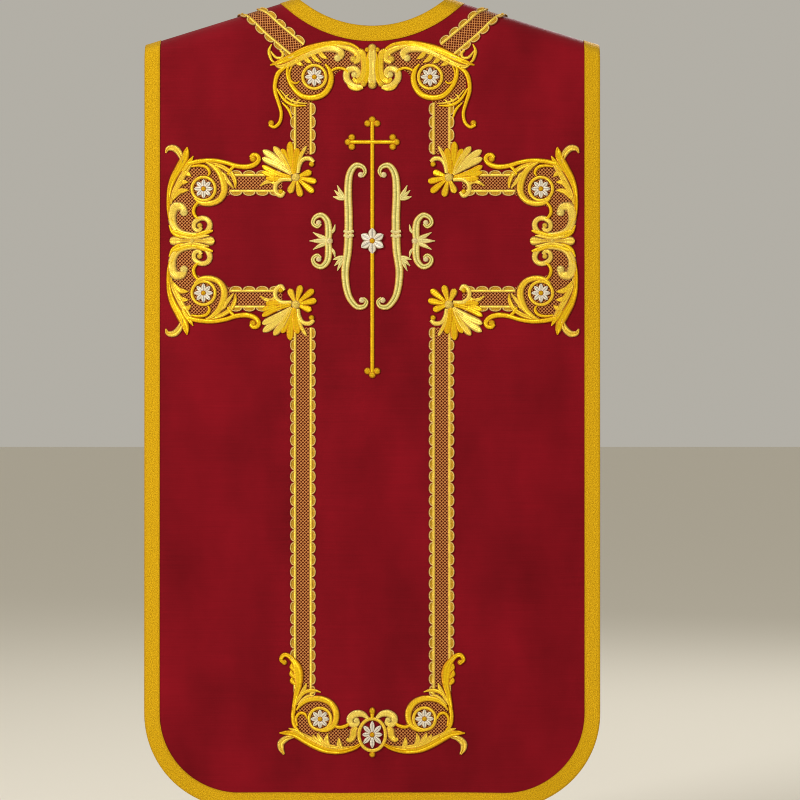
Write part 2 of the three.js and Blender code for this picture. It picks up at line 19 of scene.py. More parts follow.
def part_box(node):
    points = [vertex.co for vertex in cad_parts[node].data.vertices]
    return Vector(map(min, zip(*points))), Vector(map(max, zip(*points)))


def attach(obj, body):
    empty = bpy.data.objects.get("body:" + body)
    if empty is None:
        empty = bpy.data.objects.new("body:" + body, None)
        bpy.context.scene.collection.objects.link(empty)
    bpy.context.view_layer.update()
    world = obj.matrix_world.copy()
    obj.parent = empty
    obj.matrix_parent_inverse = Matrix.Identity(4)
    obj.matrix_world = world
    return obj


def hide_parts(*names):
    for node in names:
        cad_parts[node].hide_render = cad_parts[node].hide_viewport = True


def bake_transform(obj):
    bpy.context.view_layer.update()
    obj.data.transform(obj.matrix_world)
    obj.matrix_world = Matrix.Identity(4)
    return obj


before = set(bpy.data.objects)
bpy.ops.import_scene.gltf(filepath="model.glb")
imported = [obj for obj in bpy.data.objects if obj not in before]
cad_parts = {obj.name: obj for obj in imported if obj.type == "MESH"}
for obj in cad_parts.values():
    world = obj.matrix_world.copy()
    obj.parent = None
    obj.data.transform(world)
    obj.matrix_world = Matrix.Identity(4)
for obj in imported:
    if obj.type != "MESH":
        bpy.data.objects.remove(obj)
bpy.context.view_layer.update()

# %% [markdown]
# ## The cut
# A garment maker thinks in flat patterns, so this script does too. Everything is drawn in
# millimetres on the flat cloth and then laid on the body. The few sizes below are the cut; the
# rest is read from the model.

# %% The cut in millimetres
MM = 0.001
SLOPE = 0.311  # fall of the shoulder for each millimetre outwards
NECK_HALF = 106  # half the neck opening, at the top of the shoulder
BACK_NECK_R = 158
BACK_CORNER_R = 133
FRONT_NECK_DROP = 125
FRONT_NECK_CENTRE = -10
CHEST_HALF, CHEST_Z = 240, -420
SKIRT_HALF, SKIRT_Z = 268, -820
FRONT_CORNER_R = 110
GALLOON = 22  # its width
BAND_X = 97  # middle of the upright bands
CROSS_Z = -317.5  # middle of the cross's arms

back_low, back_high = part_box("back_face_cloth")
front_low, front_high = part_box("front_face_cloth")
HALF = back_high.x / MM
FACE_R = back_high.y / MM  # outside of the face cloth over the shoulder fold
BACK_HEM = back_low.z / MM
FRONT_HEM = front_low.z / MM
SEAM = round(front_high.z / MM)  # the level seam on the chest
BACK_NECK_CENTRE = FACE_R + math.sqrt(BACK_NECK_R**2 - NECK_HALF**2)
NECK_BOTTOM = BACK_NECK_CENTRE - BACK_NECK_R
FRONT_NECK_HIGH = FRONT_NECK_DROP + FRONT_NECK_CENTRE
FRONT_NECK_HALF = NECK_HALF / math.sqrt(1 - ((FACE_R - FRONT_NECK_CENTRE) / FRONT_NECK_HIGH) ** 2)
TIP_Z = FACE_R - SLOPE * (HALF - NECK_HALF)
print(f"back {2 * HALF:.0f} mm wide, hem at {BACK_HEM:.0f}, front hem at {FRONT_HEM:.0f}")

# %% [markdown]
# The cloth is stiff and nearly flat. It slopes at the shoulders, and below them it stands out a
# few millimetres in broad, soft folds. Both are formulas of the place on the cloth, because a
# cloth simulation would hardly move a garment that is lined with canvas.


# %% Slope and soft folds
def step(low, high, t):
    """0 before low, 1 after high, smooth between."""
    t = np.clip((t - low) / (high - low), 0, 1)
    return t * t * (3 - 2 * t)


def ridge(x):
    """Height of the shoulder fold's axis."""
    return -SLOPE * (np.abs(x) - NECK_HALF)


def back_swell(x, z):
    """How far the soft folds of the back stand out, in millimetres."""
    wave = 1 + np.cos(2 * np.pi * (x + 16 * np.sin(z / 190)) / 228 + 0.7)
    ripple = 1 + np.cos(2 * np.pi * (x - 0.05 * z) / 123)
    return step(-70, -700, z) * (2.4 * wave + 1.0 * ripple)


def front_swell(x, z):
    """The same for the front panel."""
    wave = 1 + np.cos(2 * np.pi * (x + 20 * np.sin(z / 210)) / 205 + 2.1)
    return step(-120, -620, z) * 3.2 * wave


deepest = back_swell(0, np.arange(-900, 0)).max()
print(f"shoulders fall {-ridge(HALF):.0f} mm, folds stand out up to {deepest:.1f} mm")


# %% From flat cloth to garment, and back
def on_back(x, q, h):
    """A point x across and q up the back cloth, h above its face, in metres.

    Past the shoulder fold, q runs on over the fold and down the front to the seam.
    """
    x, q, h = (np.asarray(v, float) for v in (x, q, h))
    past = q - ridge(x)
    turn = np.clip(past / FACE_R, 0, math.pi)
    radius = FACE_R + h
    z = ridge(x) + radius * np.sin(turn)
    z = z + np.minimum(past, 0) - np.maximum(past - math.pi * FACE_R, 0)
    y = -radius * np.cos(turn) - back_swell(x, z) * (past < 0)
    return np.stack(np.broadcast_arrays(x, y, z), -1) * MM


def on_front(x, z, h):
    """A point of the front panel, h above its face, in metres."""
    x, z, h = (np.asarray(v, float) for v in (x, z, h))
    return np.stack(np.broadcast_arrays(x, FACE_R + h + front_swell(x, z), z), -1) * MM


def unfold(x, z, front):
    """Where a point seen from behind, or from in front, lies on the back cloth."""
    x, z = np.asarray(x, float), np.asarray(z, float)
    rise = z - ridge(x)
    turn = np.arcsin(np.clip(rise / FACE_R, 0, 1))
    if front:
        q = ridge(x) + FACE_R * (math.pi - turn) + np.maximum(-rise, 0)
    else:
        q = ridge(x) + FACE_R * turn + np.minimum(rise, 0)
    return np.stack([x, q], -1)


PLACES = {"back": on_back, "front": on_front}
print(f"{math.pi * FACE_R:.0f} mm of cloth goes round each shoulder")

# %% [markdown]
# ## The camera comes first
# A long lens far away shows the flat garment without perspective, the way a catalogue does. The
# view is level and square to the back panel.

# %% Camera
VIEW_WIDTH = 1120  # millimetres that the view shows across, at the back panel
VIEW_X, VIEW_Z = 38.8, -540.1  # what the middle of the view looks at
camera = bpy.data.objects.new("camera", bpy.data.cameras.new("camera"))
camera.data.lens = 135
distance = VIEW_WIDTH * camera.data.lens / camera.data.sensor_width
camera.location = Vector((VIEW_X, -FACE_R - distance, VIEW_Z)) * MM
camera.rotation_euler = (math.pi / 2, 0, 0)
camera.data.clip_end = 100
bpy.context.scene.collection.objects.link(camera)
bpy.context.scene.camera = camera
print(f"camera {distance * MM:.1f} m from the back panel")

# %% [markdown]
# ## Outlines
# Each outline is a list of points drawn anticlockwise as seen from behind. Arcs are sampled
# finely enough to look round. An inset moves the outline inwards, for the layers under the face
# and for the inner edge of the braid.


# %% Sides and hems of the two panels
def arc(cx, cz, rx, rz, start, end, count):
    """Points on an ellipse about (cx, cz), from one angle to another in degrees."""
    a = np.radians(np.linspace(start, end, count))
    return np.stack([cx + rx * np.cos(a), cz + rz * np.sin(a)], -1)


def mirror(points):
    """The same line on the other side of the garment, run the other way."""
    return (np.asarray(points) * [-1, 1])[::-1]


def front_half(z):
    """Half the width of the front at a height."""
    chest = CHEST_HALF + (HALF - CHEST_HALF) * step(CHEST_Z, TIP_Z, z)
    skirt = CHEST_HALF + (SKIRT_HALF - CHEST_HALF) * step(CHEST_Z, SKIRT_Z, z)
    return np.where(z > CHEST_Z, chest, skirt)


def back_side(inset):
    """The right side of the back from the middle of the hem to the front seam, unfolded."""
    half, radius = HALF - inset, BACK_CORNER_R - inset
    floor = BACK_HEM + inset
    corner = arc(half - radius, floor + radius, radius, radius, -90, 0, 34)
    up = np.stack([np.full(70, half), np.linspace(floor + radius + 10, ridge(half), 70)], -1)
    over = unfold(np.full(16, half), ridge(half) + FACE_R * np.sin(np.linspace(0, 1.5, 16)), False)
    z = np.linspace(ridge(half) + FACE_R * 0.98, SEAM, 20)
    down = unfold(front_half(np.minimum(z, TIP_Z)) - inset, z, True)
    hem = np.stack([np.linspace(0, half - radius, 20)[:-1], np.full(19, floor)], -1)
    return np.concatenate([hem, corner, up, over[1:], down])


def front_side(inset):
    """The left side of the front panel from the seam to the middle of the hem."""
    radius = FRONT_CORNER_R - inset
    floor = FRONT_HEM + inset
    z = np.linspace(SEAM, floor + radius, 90)
    side = np.stack([-(front_half(z) - inset), z], -1)
    corner = arc(side[-1, 0] + radius, floor + radius, radius, radius, 180, 270, 30)
    hem = np.stack([np.linspace(corner[-1, 0], 0, 20)[1:], np.full(19, floor)], -1)
    return np.concatenate([side, corner[1:], hem])


# %% Necklines, and whole outlines
def neck_side(grow, count=60):
    """The right half of the neckline, from the front seam over the shoulder to the back."""
    rx, rz = FRONT_NECK_HALF + grow, FRONT_NECK_HIGH + grow
    radius = BACK_NECK_R + grow
    low = math.asin((SEAM - FRONT_NECK_CENTRE) / rz)
    a = np.linspace(low, math.pi / 2, 400)
    front = np.stack([rx * np.cos(a), FRONT_NECK_CENTRE + rz * np.sin(a)], -1)
    front = front[front[:, 1] < ridge(front[:, 0]) + FACE_R * 0.995]
    front = front[: 1 + np.argmax(front[:, 1] - ridge(front[:, 0]))]
    a = np.linspace(0, -math.pi / 2, 400)
    back = np.stack([radius * np.cos(a), BACK_NECK_CENTRE + radius * np.sin(a)], -1)
    back = back[back[:, 1] < ridge(back[:, 0]) + FACE_R * 0.995]
    path = np.concatenate([unfold(*front.T, True), unfold(*back.T, False)])
    return evenly(path, count)


def steps(path):
    """The distances between neighbouring points of a path."""
    return np.linalg.norm(np.diff(path, axis=0), axis=1)


def run_along(path):
    """How far along a path each of its points lies."""
    return np.concatenate([[0], np.cumsum(steps(path))])


def evenly(path, count):
    """The same path with its points evenly spaced."""
    run = run_along(path)
    at = np.linspace(0, run[-1], count)
    return np.stack([np.interp(at, run, path[:, k]) for k in range(path.shape[1])], -1)


def front_neck(grow, count=60):
    """The neckline of the front panel, from the left end of the seam to the right."""
    rx, rz = FRONT_NECK_HALF + grow, FRONT_NECK_HIGH + grow
    low = math.degrees(math.asin((SEAM - FRONT_NECK_CENTRE) / rz))
    return arc(0, FRONT_NECK_CENTRE, rx, rz, 180 - low, 360 + low, count)


def back_outline(inset):
    right = np.concatenate([back_side(inset), neck_side(inset)])
    return np.concatenate([right, mirror(right)[1:-1]])


def front_outline(inset):
    left = front_side(inset)
    around = np.concatenate([left, mirror(left)[1:]])
    return np.concatenate([around, front_neck(inset)[::-1]])


print(len(back_outline(0)), "points round the back,", len(front_outline(0)), "round the front")


# %% [markdown]
# ## From outlines to cloth
# A cloth is a thin closed body: its flat outline is filled with triangles by a constrained
# Delaunay triangulation, which keeps the edge exactly and the inside even, and every point is
# laid on the garment twice, once for each side of the cloth. A plane with a Solidify modifier
# would do the same, but this way each layer stays exactly where the model has it.


# %% Mesh helpers
def make_piece(name, points, faces, material, uv=None, tone=None):
    """A mesh object from points in metres, with its thread directions in a UV map."""
    mesh = bpy.data.meshes.new(name)
    mesh.from_pydata([tuple(p) for p in points], [], faces)
    if uv is not None:
        corner = np.zeros(len(mesh.loops), np.int32)
        mesh.loops.foreach_get("vertex_index", corner)
        layer = mesh.uv_layers.new(name="thread")
        layer.data.foreach_set("uv", np.asarray(uv, np.float32)[corner].ravel())
    if tone is not None:
        shade = mesh.attributes.new("tone", "FLOAT", "POINT")
        shade.data.foreach_set("value", np.asarray(tone, np.float32))
    face_outwards(mesh)
    mesh.materials.append(material)
    piece = bpy.data.objects.new(name, mesh)
    bpy.context.scene.collection.objects.link(piece)
    return piece


def face_outwards(mesh, sharp=55):
    """Recalculate the normals of closed bodies and shade them smooth up to an angle."""
    shape = bmesh.new()
    shape.from_mesh(mesh)
    bmesh.ops.recalc_face_normals(shape, faces=shape.faces)
    shape.to_mesh(mesh)
    shape.free()
    mesh.shade_smooth()
    mesh.set_sharp_from_angle(angle=math.radians(sharp))


# %% Sheets of cloth
def fill(outline, inner):
    """Triangles inside a flat outline, through the points inside it that are wanted."""
    near = np.min(np.linalg.norm(inner[:, None] - outline[None, ::2], axis=2), axis=1)
    gap = steps(outline).mean()
    points = [Vector(p) for p in np.concatenate([outline, inner[near > gap * 0.7]])]
    ring = list(range(len(outline)))
    flat, _, faces, *_ = delaunay_2d_cdt(points, [], [ring], 1, 1e-4)
    used = sorted({i for face in faces for i in face})
    order = {old: new for new, old in enumerate(used)}
    return np.array([tuple(flat[i]) for i in used]), [[order[i] for i in f] for f in faces]


def slab(name, flat, faces, low, high, place, material, uv=None):
    """A closed sheet over flat triangles, from height low to height high."""
    count = len(flat)
    sides = {(a, b) for face in faces for a, b in zip(face, face[1:] + face[:1])}
    walls = [(b, a, a + count, b + count) for a, b in sides if (b, a) not in sides]
    upper = [tuple(f) for f in faces]
    lower = [tuple(count + i for i in reversed(f)) for f in faces]
    both = np.concatenate([place(*flat.T, high), place(*flat.T, low)])
    return make_piece(name, both, upper + lower + walls, material,
                      np.tile(flat if uv is None else uv, (2, 1)))


def flat_area(flat, faces):
    a, b, c = (flat[[f[k] for f in faces]] for k in range(3))
    return np.abs(np.cross(b - a, c - a)).sum() / 2


FOLD_FROM, FOLD_TO, FOLD_ROW = -24, 100, 4.5  # from the fold's axis, and the rows' distance
CLOTH_RUN = 140  # rows go on past the outline, because they slope with the shoulder


def cloth(name, outline, spacing, low, high, place, material):
    """A sheet of cloth inside a flat outline, with closer rows over the shoulder fold."""
    left, bottom = outline.min(0)
    right, top = outline.max(0)
    xs = np.arange(left + spacing / 2, right, spacing)
    if place is on_back:
        rows = [*np.arange(bottom, FOLD_FROM, spacing * 1.3),
                *np.arange(FOLD_FROM, FOLD_TO, FOLD_ROW),
                *np.arange(FOLD_TO + 4, top + CLOTH_RUN, spacing)]
        inner = np.array([(x, q + ridge(x)) for x in xs for q in rows])
    else:
        inner = np.array([(x, z) for x in xs for z in np.arange(bottom, top, spacing * 1.3)])
    flat, faces = fill(outline, inner)
    piece = slab(name, flat, faces, low, high, place, material)
    width, length = (outline.max(0) - outline.min(0)) * MM
    print(f"{name}: {len(faces)} triangles a side, cut from {width:.3f} x {length:.3f} m")
    return piece, (width, length), flat_area(flat, faces) * MM * MM


# %% [markdown]
# ## From strokes to stitches
# Raised embroidery is satin stitch over a core of padding, so every stroke is a small closed body
# with a domed face. Strokes are drawn flat, as a line of points with a width at each, and laid on
# the cloth point by point, because that follows the folds and the shoulders.


# %% Stitches
class Stitches:
    """Gathers many small closed bodies on the cloth, and makes one piece of them.

    A motif is drawn about its own middle, on the left of the garment. side=-1 lays it mirrored
    on the right, and rise=-1 lays it upside down.
    """

    def __init__(self, place, base=0.3, at=(0, 0), side=1, rise=1):
        self.place, self.base, self.at, self.side, self.rise = place, base, at, side, rise
        self.points, self.faces, self.uv, self.tone = [], [], [], []
        self.plump = 1.0
        self.count = 0

    def lay(self, grid, height):
        x = self.side * (self.at[0] + grid[..., 0])
        z = self.at[1] + self.rise * grid[..., 1]
        return self.place(x, z, self.base + height).reshape(-1, 3)

    def gather(self, points, faces, uv, tone):
        self.points.append(points)
        self.faces += [tuple(f) for f in faces]
        self.uv.append(uv)
        self.tone += [tone] * len(points)
        self.count += len(points)

    def body(self, grid, height, along, across, tone=0.5, under=(0, -1)):
        """A closed body over a grid of flat points (n, m, 2) with a height at each.

        Its underside follows the columns of the grid that under lists.
        """
        n, m = grid.shape[:2]
        under = list(under)
        at = self.count + np.arange(n * m).reshape(n, m)
        low = self.count + n * m + np.arange(n * len(under)).reshape(n, len(under))
        skin = np.stack([at[:-1, :-1], at[:-1, 1:], at[1:, 1:], at[1:, :-1]], -1).reshape(-1, 4)
        left = np.stack([low[:-1, 0], at[:-1, 0], at[1:, 0], low[1:, 0]], -1)
        right = np.stack([at[:-1, -1], low[:-1, -1], low[1:, -1], at[1:, -1]], -1)
        sole = np.stack([low[:-1, 1:], low[:-1, :-1], low[1:, :-1], low[1:, 1:]], -1).reshape(-1, 4)
        faces = np.concatenate([skin, left, right, sole]).tolist()
        faces.append(at[0].tolist()[::-1] + low[0].tolist())
        faces.append(at[-1].tolist() + low[-1].tolist()[::-1])
        edge = grid[:, under]
        points = np.concatenate([self.lay(grid, height), self.lay(edge, np.zeros(edge.shape[:2]))])
        along, across = np.broadcast_to(along, (n, m)), np.broadcast_to(across, (n, m))
        uv = np.concatenate([
            np.stack([along, across], -1).reshape(-1, 2),
            np.stack([along[:, under], across[:, under]], -1).reshape(-1, 2)])
        self.gather(points, faces, uv, tone)

    def make(self, name, material):
        uv = np.concatenate(self.uv)
        return make_piece(name, np.concatenate(self.points), self.faces, material, uv, self.tone)


# %% Strokes, knobs and leaves
def curve_through(points, spacing=1.6, closed=False):
    """A smooth line through points, each [x, z] and what else goes with it, such as a width."""
    p = np.asarray(points, float)
    if closed:
        p = np.concatenate([p[-1:], p, p[:2]])
    else:
        p = np.concatenate([[2 * p[0] - p[1]], p, [2 * p[-1] - p[-2]]])
    t = np.linspace(0, 1, 12, endpoint=False)[:, None]
    parts = []
    for a, b, c, d in zip(p, p[1:], p[2:], p[3:]):
        cubic = (3 * b - a - 3 * c + d) * t**3 + (2 * a - 5 * b + 4 * c - d) * t**2
        parts.append((cubic + (c - a) * t + 2 * b) / 2)
    path = np.concatenate([*parts, p[-2:-1]])
    run = run_along(path[:, :2])
    at = np.linspace(0, run[-1], max(4, math.ceil(run[-1] / spacing) + 1))
    return np.stack([np.interp(at, run, path[:, k]) for k in range(path.shape[1])], -1), at


def beside(path, distance):
    """The line at a distance to the right of a flat line."""
    way = np.gradient(path[:, :2], axis=0)
    way /= np.maximum(np.linalg.norm(way, axis=1), 1e-9)[:, None]
    return path[:, :2] + np.stack([way[:, 1], -way[:, 0]], -1) * distance


def sew(work, *points, tone=0.5, crown=2.2, vein=0.0, sections=9):
    """A row of satin stitch along points (x, z, half width), domed across its width.

    vein sinks a groove along its middle, as where two rows of stitches meet.
    """
    path, along = curve_through(points)
    half = np.maximum(path[:, 2] * work.plump, 0.25)[:, None]
    across = np.sin(np.linspace(-np.pi / 2, np.pi / 2, sections))[None]
    normal = beside(path, 1) - path[:, :2]
    grid = path[:, None, :2] + normal[:, None] * (half * across)[..., None]
    dome = np.sqrt(np.maximum(1 - across**2, 0)) * (1 - vein * np.exp(-((across / 0.25) ** 2)))
    work.body(grid, crown * np.minimum(1, half / 2.4) * dome + 0.12, along[:, None], across, tone)


def knob(work, x, z, radius, height=2.1, tone=0.5, stretch=1.0, around=16):
    """A round padded knob, such as the end of a tendril."""
    a = np.linspace(0, 2 * np.pi, around, endpoint=False)
    rings = np.array([1, 0.87, 0.62, 0.3, 0.05])
    grid = np.stack([x + radius * rings * np.cos(a)[:, None],
                     z + radius * stretch * rings * np.sin(a)[:, None]], -1)
    dome = np.broadcast_to(0.1 + height * np.sqrt(1 - (rings * 0.97) ** 2), grid.shape[:2])
    m = len(rings)
    at = work.count + np.arange(around * m).reshape(around, m)
    low = work.count + around * m + np.arange(around)
    after = np.roll(at, -1, axis=0)
    skin = np.stack([at[:, :-1], at[:, 1:], after[:, 1:], after[:, :-1]], -1).reshape(-1, 4)
    wall = np.stack([at[:, 0], after[:, 0], np.roll(low, -1), low], -1)
    faces = [*np.concatenate([skin, wall]).tolist(), at[:, -1].tolist(), low.tolist()[::-1]]
    turned = np.broadcast_to((a * radius)[:, None], grid.shape[:2])
    # Rings run from 1 at the rim to nearly 0 on top, so in satin the top takes the painted highlight
    # and the rim the painted shade.
    uv = np.stack([turned, np.broadcast_to(rings, grid.shape[:2])], -1).reshape(-1, 2)
    points = np.concatenate([work.lay(grid, dome), work.lay(grid[:, 0], np.zeros(around))])
    work.gather(points, faces, np.concatenate([uv, np.stack([a * radius, a * 0 + 1], -1)]), tone)


def fan(work, root, tips, width, tone=0.5, bend=0.0, vein=0.35):
    """A leaf of fingers, each a pointed row of stitches from one root to its own tip."""
    root = np.asarray(root, float)
    for k, tip in enumerate(np.asarray(tips, float)):
        run = tip - root
        sway = np.array([-run[1], run[0]]) * bend
        stops = [(0.0, 0.4), (0.3, 0.8), (0.62, 1.0), (0.84, 0.95), (0.95, 0.62), (1.0, 0.2)]
        row = [(*(root + run * s + sway * math.sin(math.pi * s)), width * w) for s, w in stops]
        sew(work, *row, tone=tone + 0.06 * (-1) ** k, crown=2.2 + 0.3 * (k % 2), vein=vein)


# %% [markdown]
# ## Materials
# Each material is named for the real thing and how it was made. All of them read the piece's own
# `thread` map, in which one unit is one millimetre along the thread or the piece.


# %% Material helpers
def rgb(code):
    """An sRGB hex colour as the linear colour that Blender's sockets take."""
    parts = [int(code[i:i + 2], 16) / 255 for i in (1, 3, 5)]
    return tuple(c / 12.92 if c <= 0.04045 else ((c + 0.055) / 1.055) ** 2.4 for c in parts) + (1,)


def add(tree, kind, settings=(), inputs=(), stops=()):
    """Add a node. Settings may be the name of its operation alone. An input is a value, or a
    node or socket to link to it; stops are a ramp's.
    """
    node = tree.nodes.new(kind)
    if isinstance(settings, str):
        settings = {"operation": settings}
    for name, value in dict(settings).items():
        setattr(node, name, value)
    for name, value in dict(inputs).items():
        if isinstance(value, bpy.types.Node):
            value = value.outputs[0]
        if isinstance(value, bpy.types.NodeSocket):
            tree.links.new(value, node.inputs[name])
        else:
            node.inputs[name].default_value = value
    while stops and len(node.color_ramp.elements) < len(stops):
        node.color_ramp.elements.new(1)
    for k, (position, colour) in enumerate(stops):
        node.color_ramp.elements[k].position = position
        node.color_ramp.elements[k].color = rgb(colour)
    return node


def start_material(name, gloss, rough, metallic=0.0, shine=0.5):
    """A material with its Principled shader, its tree and its thread coordinates."""
    material = bpy.data.materials.new(name)
    material.use_nodes = True
    tree = material.node_tree
    shader = tree.nodes["Principled BSDF"]
    shader.inputs["Specular Tint"].default_value = rgb(gloss)
    shader.inputs["Roughness"].default_value = rough
    shader.inputs["Metallic"].default_value = metallic
    shader.inputs["Specular IOR Level"].default_value = shine
    thread = add(tree, "ShaderNodeUVMap", {"uv_map": "thread"})
    return material, tree, shader, thread


def finish_material(tree, shader, colour, height, distance, strength):
    """Give the shader its colour, and raise the surface where height is high, in millimetres."""
    tree.links.new(colour, shader.inputs["Base Color"])
    raised = add(tree, "ShaderNodeBump", (), {"Strength": strength, "Distance": distance * MM,
                                              "Height": height})
    tree.links.new(raised.outputs[0], shader.inputs["Normal"])


# %% [markdown]
# Silk satin is woven from filament silk, so it has a soft sheen and no fluff. Its threads are
# about a tenth of a millimetre; they are drawn 1.3 mm wide here, the finest that the view can
# show, with thicker threads, called slubs, running across.


# %% Woven cloths
def ripple(tree, line, pitch):
    """A wave along a line of the thread map, one crest for each pitch in millimetres."""
    turns = add(tree, "ShaderNodeMath", "MULTIPLY", {0: line, 1: math.tau / pitch})
    return add(tree, "ShaderNodeMath", "SINE", {0: turns})


def woven_cloth(name, dark, light, gloss, pitch, sheen, rough, slub):
    """Crossing threads with uneven ones among them, and faint light and dark blotches over the
    cloth: painted shade of soft folds.
    """
    material, tree, shader, thread = start_material(name, gloss, rough, shine=0.35)
    shader.inputs["Sheen Weight"].default_value = sheen
    shader.inputs["Sheen Roughness"].default_value = 0.35
    shader.inputs["Sheen Tint"].default_value = rgb(light)
    xy = add(tree, "ShaderNodeSeparateXYZ", (), {0: thread})
    waves = [ripple(tree, xy.outputs[k], pitch) for k in range(2)]
    weave = add(tree, "ShaderNodeMath", "MULTIPLY", {0: waves[0], 1: waves[1]})
    slubs_and_fold_shade = []
    for stretch in ((0.012, 0.55, 1), (0.011, 0.006, 1)):
        spot = add(tree, "ShaderNodeVectorMath", "MULTIPLY", {0: thread, 1: stretch})
        slubs_and_fold_shade.append(add(tree, "ShaderNodeTexNoise", (),
                              {"Vector": spot, "Scale": 1, "Detail": 3}))
    slubs, painted_fold_shade = slubs_and_fold_shade
    shade = add(tree, "ShaderNodeMath", "MULTIPLY", {0: slubs, 1: slub})
    shade = add(tree, "ShaderNodeMath", "MULTIPLY_ADD", {0: weave, 1: 0.05, 2: shade})
    # Broad light and dark blotches, painted shade of soft folds, weigh most in the colour.
    shade = add(tree, "ShaderNodeMath", "MULTIPLY_ADD", {0: painted_fold_shade, 1: 0.7, 2: shade})
    colour = add(tree, "ShaderNodeValToRGB", (), {0: shade}, [(0.2, dark), (0.8, light)])
    height = add(tree, "ShaderNodeMath", "MULTIPLY_ADD", {0: weave, 1: 0.5, 2: slubs})
    finish_material(tree, shader, colour.outputs[0], height, 0.12, 0.6)
    return material


crimson_silk = woven_cloth(
    "crimson_silk_satin_woven", "#5a0d13", "#8b1420", "#a01c26", 1.3, 0.06, 0.5, 0.2)
lining_satin = woven_cloth(
    "crimson_lining_satin_woven", "#5f0612", "#760e1e", "#b04050", 1.6, 0.06, 0.38, 0.3)
linen_canvas = woven_cloth(
    "unbleached_linen_canvas_woven", "#b9ab8c", "#dccfb0", "#ffffff", 2.2, 0.1, 0.85, 0.6)
print("three woven cloths")

# %% [markdown]
# Galloon is a flat braid woven from gilt thread, with a firm edge on both sides. The slanting
# threads catch the light in turn, which gives it a fine glitter. Real gilt thread is a metal
# foil wound on silk, so the shader is only partly metallic.


# %% Gilt braid
def gilt_galloon():
    """Slanting gilt threads that cross, darker towards both edges."""
    material, tree, shader, thread = start_material("gilt_galloon_woven", "#e8c050", 0.42, 0.25)
    pitch = 2.1  # finer in the real braid, drawn as coarse as shows
    level_thread = add(tree, "ShaderNodeVectorMath", "MULTIPLY",
                       {0: thread, 1: (1, GALLOON / 2, 0)})
    xy = add(tree, "ShaderNodeSeparateXYZ", (), {0: level_thread})
    waves = []
    for way in ("ADD", "SUBTRACT"):
        slant = add(tree, "ShaderNodeMath", way, {0: xy.outputs[0], 1: xy.outputs[1]})
        waves.append(ripple(tree, slant, pitch))
    weave = add(tree, "ShaderNodeMath", "MULTIPLY", {0: waves[0], 1: waves[1]})
    speckle = add(tree, "ShaderNodeTexNoise", (), {"Vector": level_thread, "Scale": 0.8, "Detail": 4})
    shade = add(tree, "ShaderNodeMath", "MULTIPLY_ADD", {0: weave, 1: 0.12, 2: speckle})
    colour = add(tree, "ShaderNodeValToRGB", (), {0: shade},
                 [(0.3, "#9a7006"), (0.5, "#cc9c0c"), (0.72, "#e8bc20")])
    side = add(tree, "ShaderNodeMath", "DIVIDE", {0: xy.outputs[1], 1: GALLOON / 2})
    side = add(tree, "ShaderNodeMath", "ABSOLUTE", {0: side})
    side = add(tree, "ShaderNodeMath", "POWER", {0: side, 1: 8})
    side = add(tree, "ShaderNodeMath", "MULTIPLY", {0: side, 1: 0.6})
    edge_darkened = add(tree, "ShaderNodeMix", {"data_type": "RGBA"}, {0: side, 6: colour, 7: rgb("#9a6a10")})
    height = add(tree, "ShaderNodeMath", "ADD", {0: weave, 1: speckle})
    finish_material(tree, shader, edge_darkened.outputs[2], height, 0.25, 0.8)
    return material


# %% [markdown]
# Net is knotted from gold thread and laid on brown silk, so the eye sees bright lines over dark
# diamonds. Two slanting sets of waves make the lines where either of them is near zero.


# %% Gold net
def net_on_silk():
    """Gold net laid on brown silk: a lattice of diamonds, 4.8 mm from corner to corner.

    The real mesh is about 3 mm, and it is drawn coarser so that it shows.
    """
    material, tree, shader, thread = start_material(
        "gold_net_on_brown_silk_woven", "#b07030", 0.5, 0.15, 0.3)
    xy = add(tree, "ShaderNodeSeparateXYZ", (), {0: thread})
    pitch = 4.8
    lines = []
    for way in ("ADD", "SUBTRACT"):
        slant = add(tree, "ShaderNodeMath", way, {0: xy.outputs[0], 1: xy.outputs[1]})
        wave = ripple(tree, slant, 2 * pitch)
        lines.append(add(tree, "ShaderNodeMath", "ABSOLUTE", {0: wave}))
    cell = add(tree, "ShaderNodeMath", "MINIMUM", {0: lines[0], 1: lines[1]})
    colour = add(tree, "ShaderNodeValToRGB", (), {0: cell},
                 [(0.16, "#c8884e"), (0.38, "#8e4a20"), (0.58, "#501c0c"), (1.0, "#42140a")])
    height = add(tree, "ShaderNodeMath", "SUBTRACT", {0: 1, 1: cell})
    finish_material(tree, shader, colour.outputs[0], height, 0.5, 0.7)
    return material
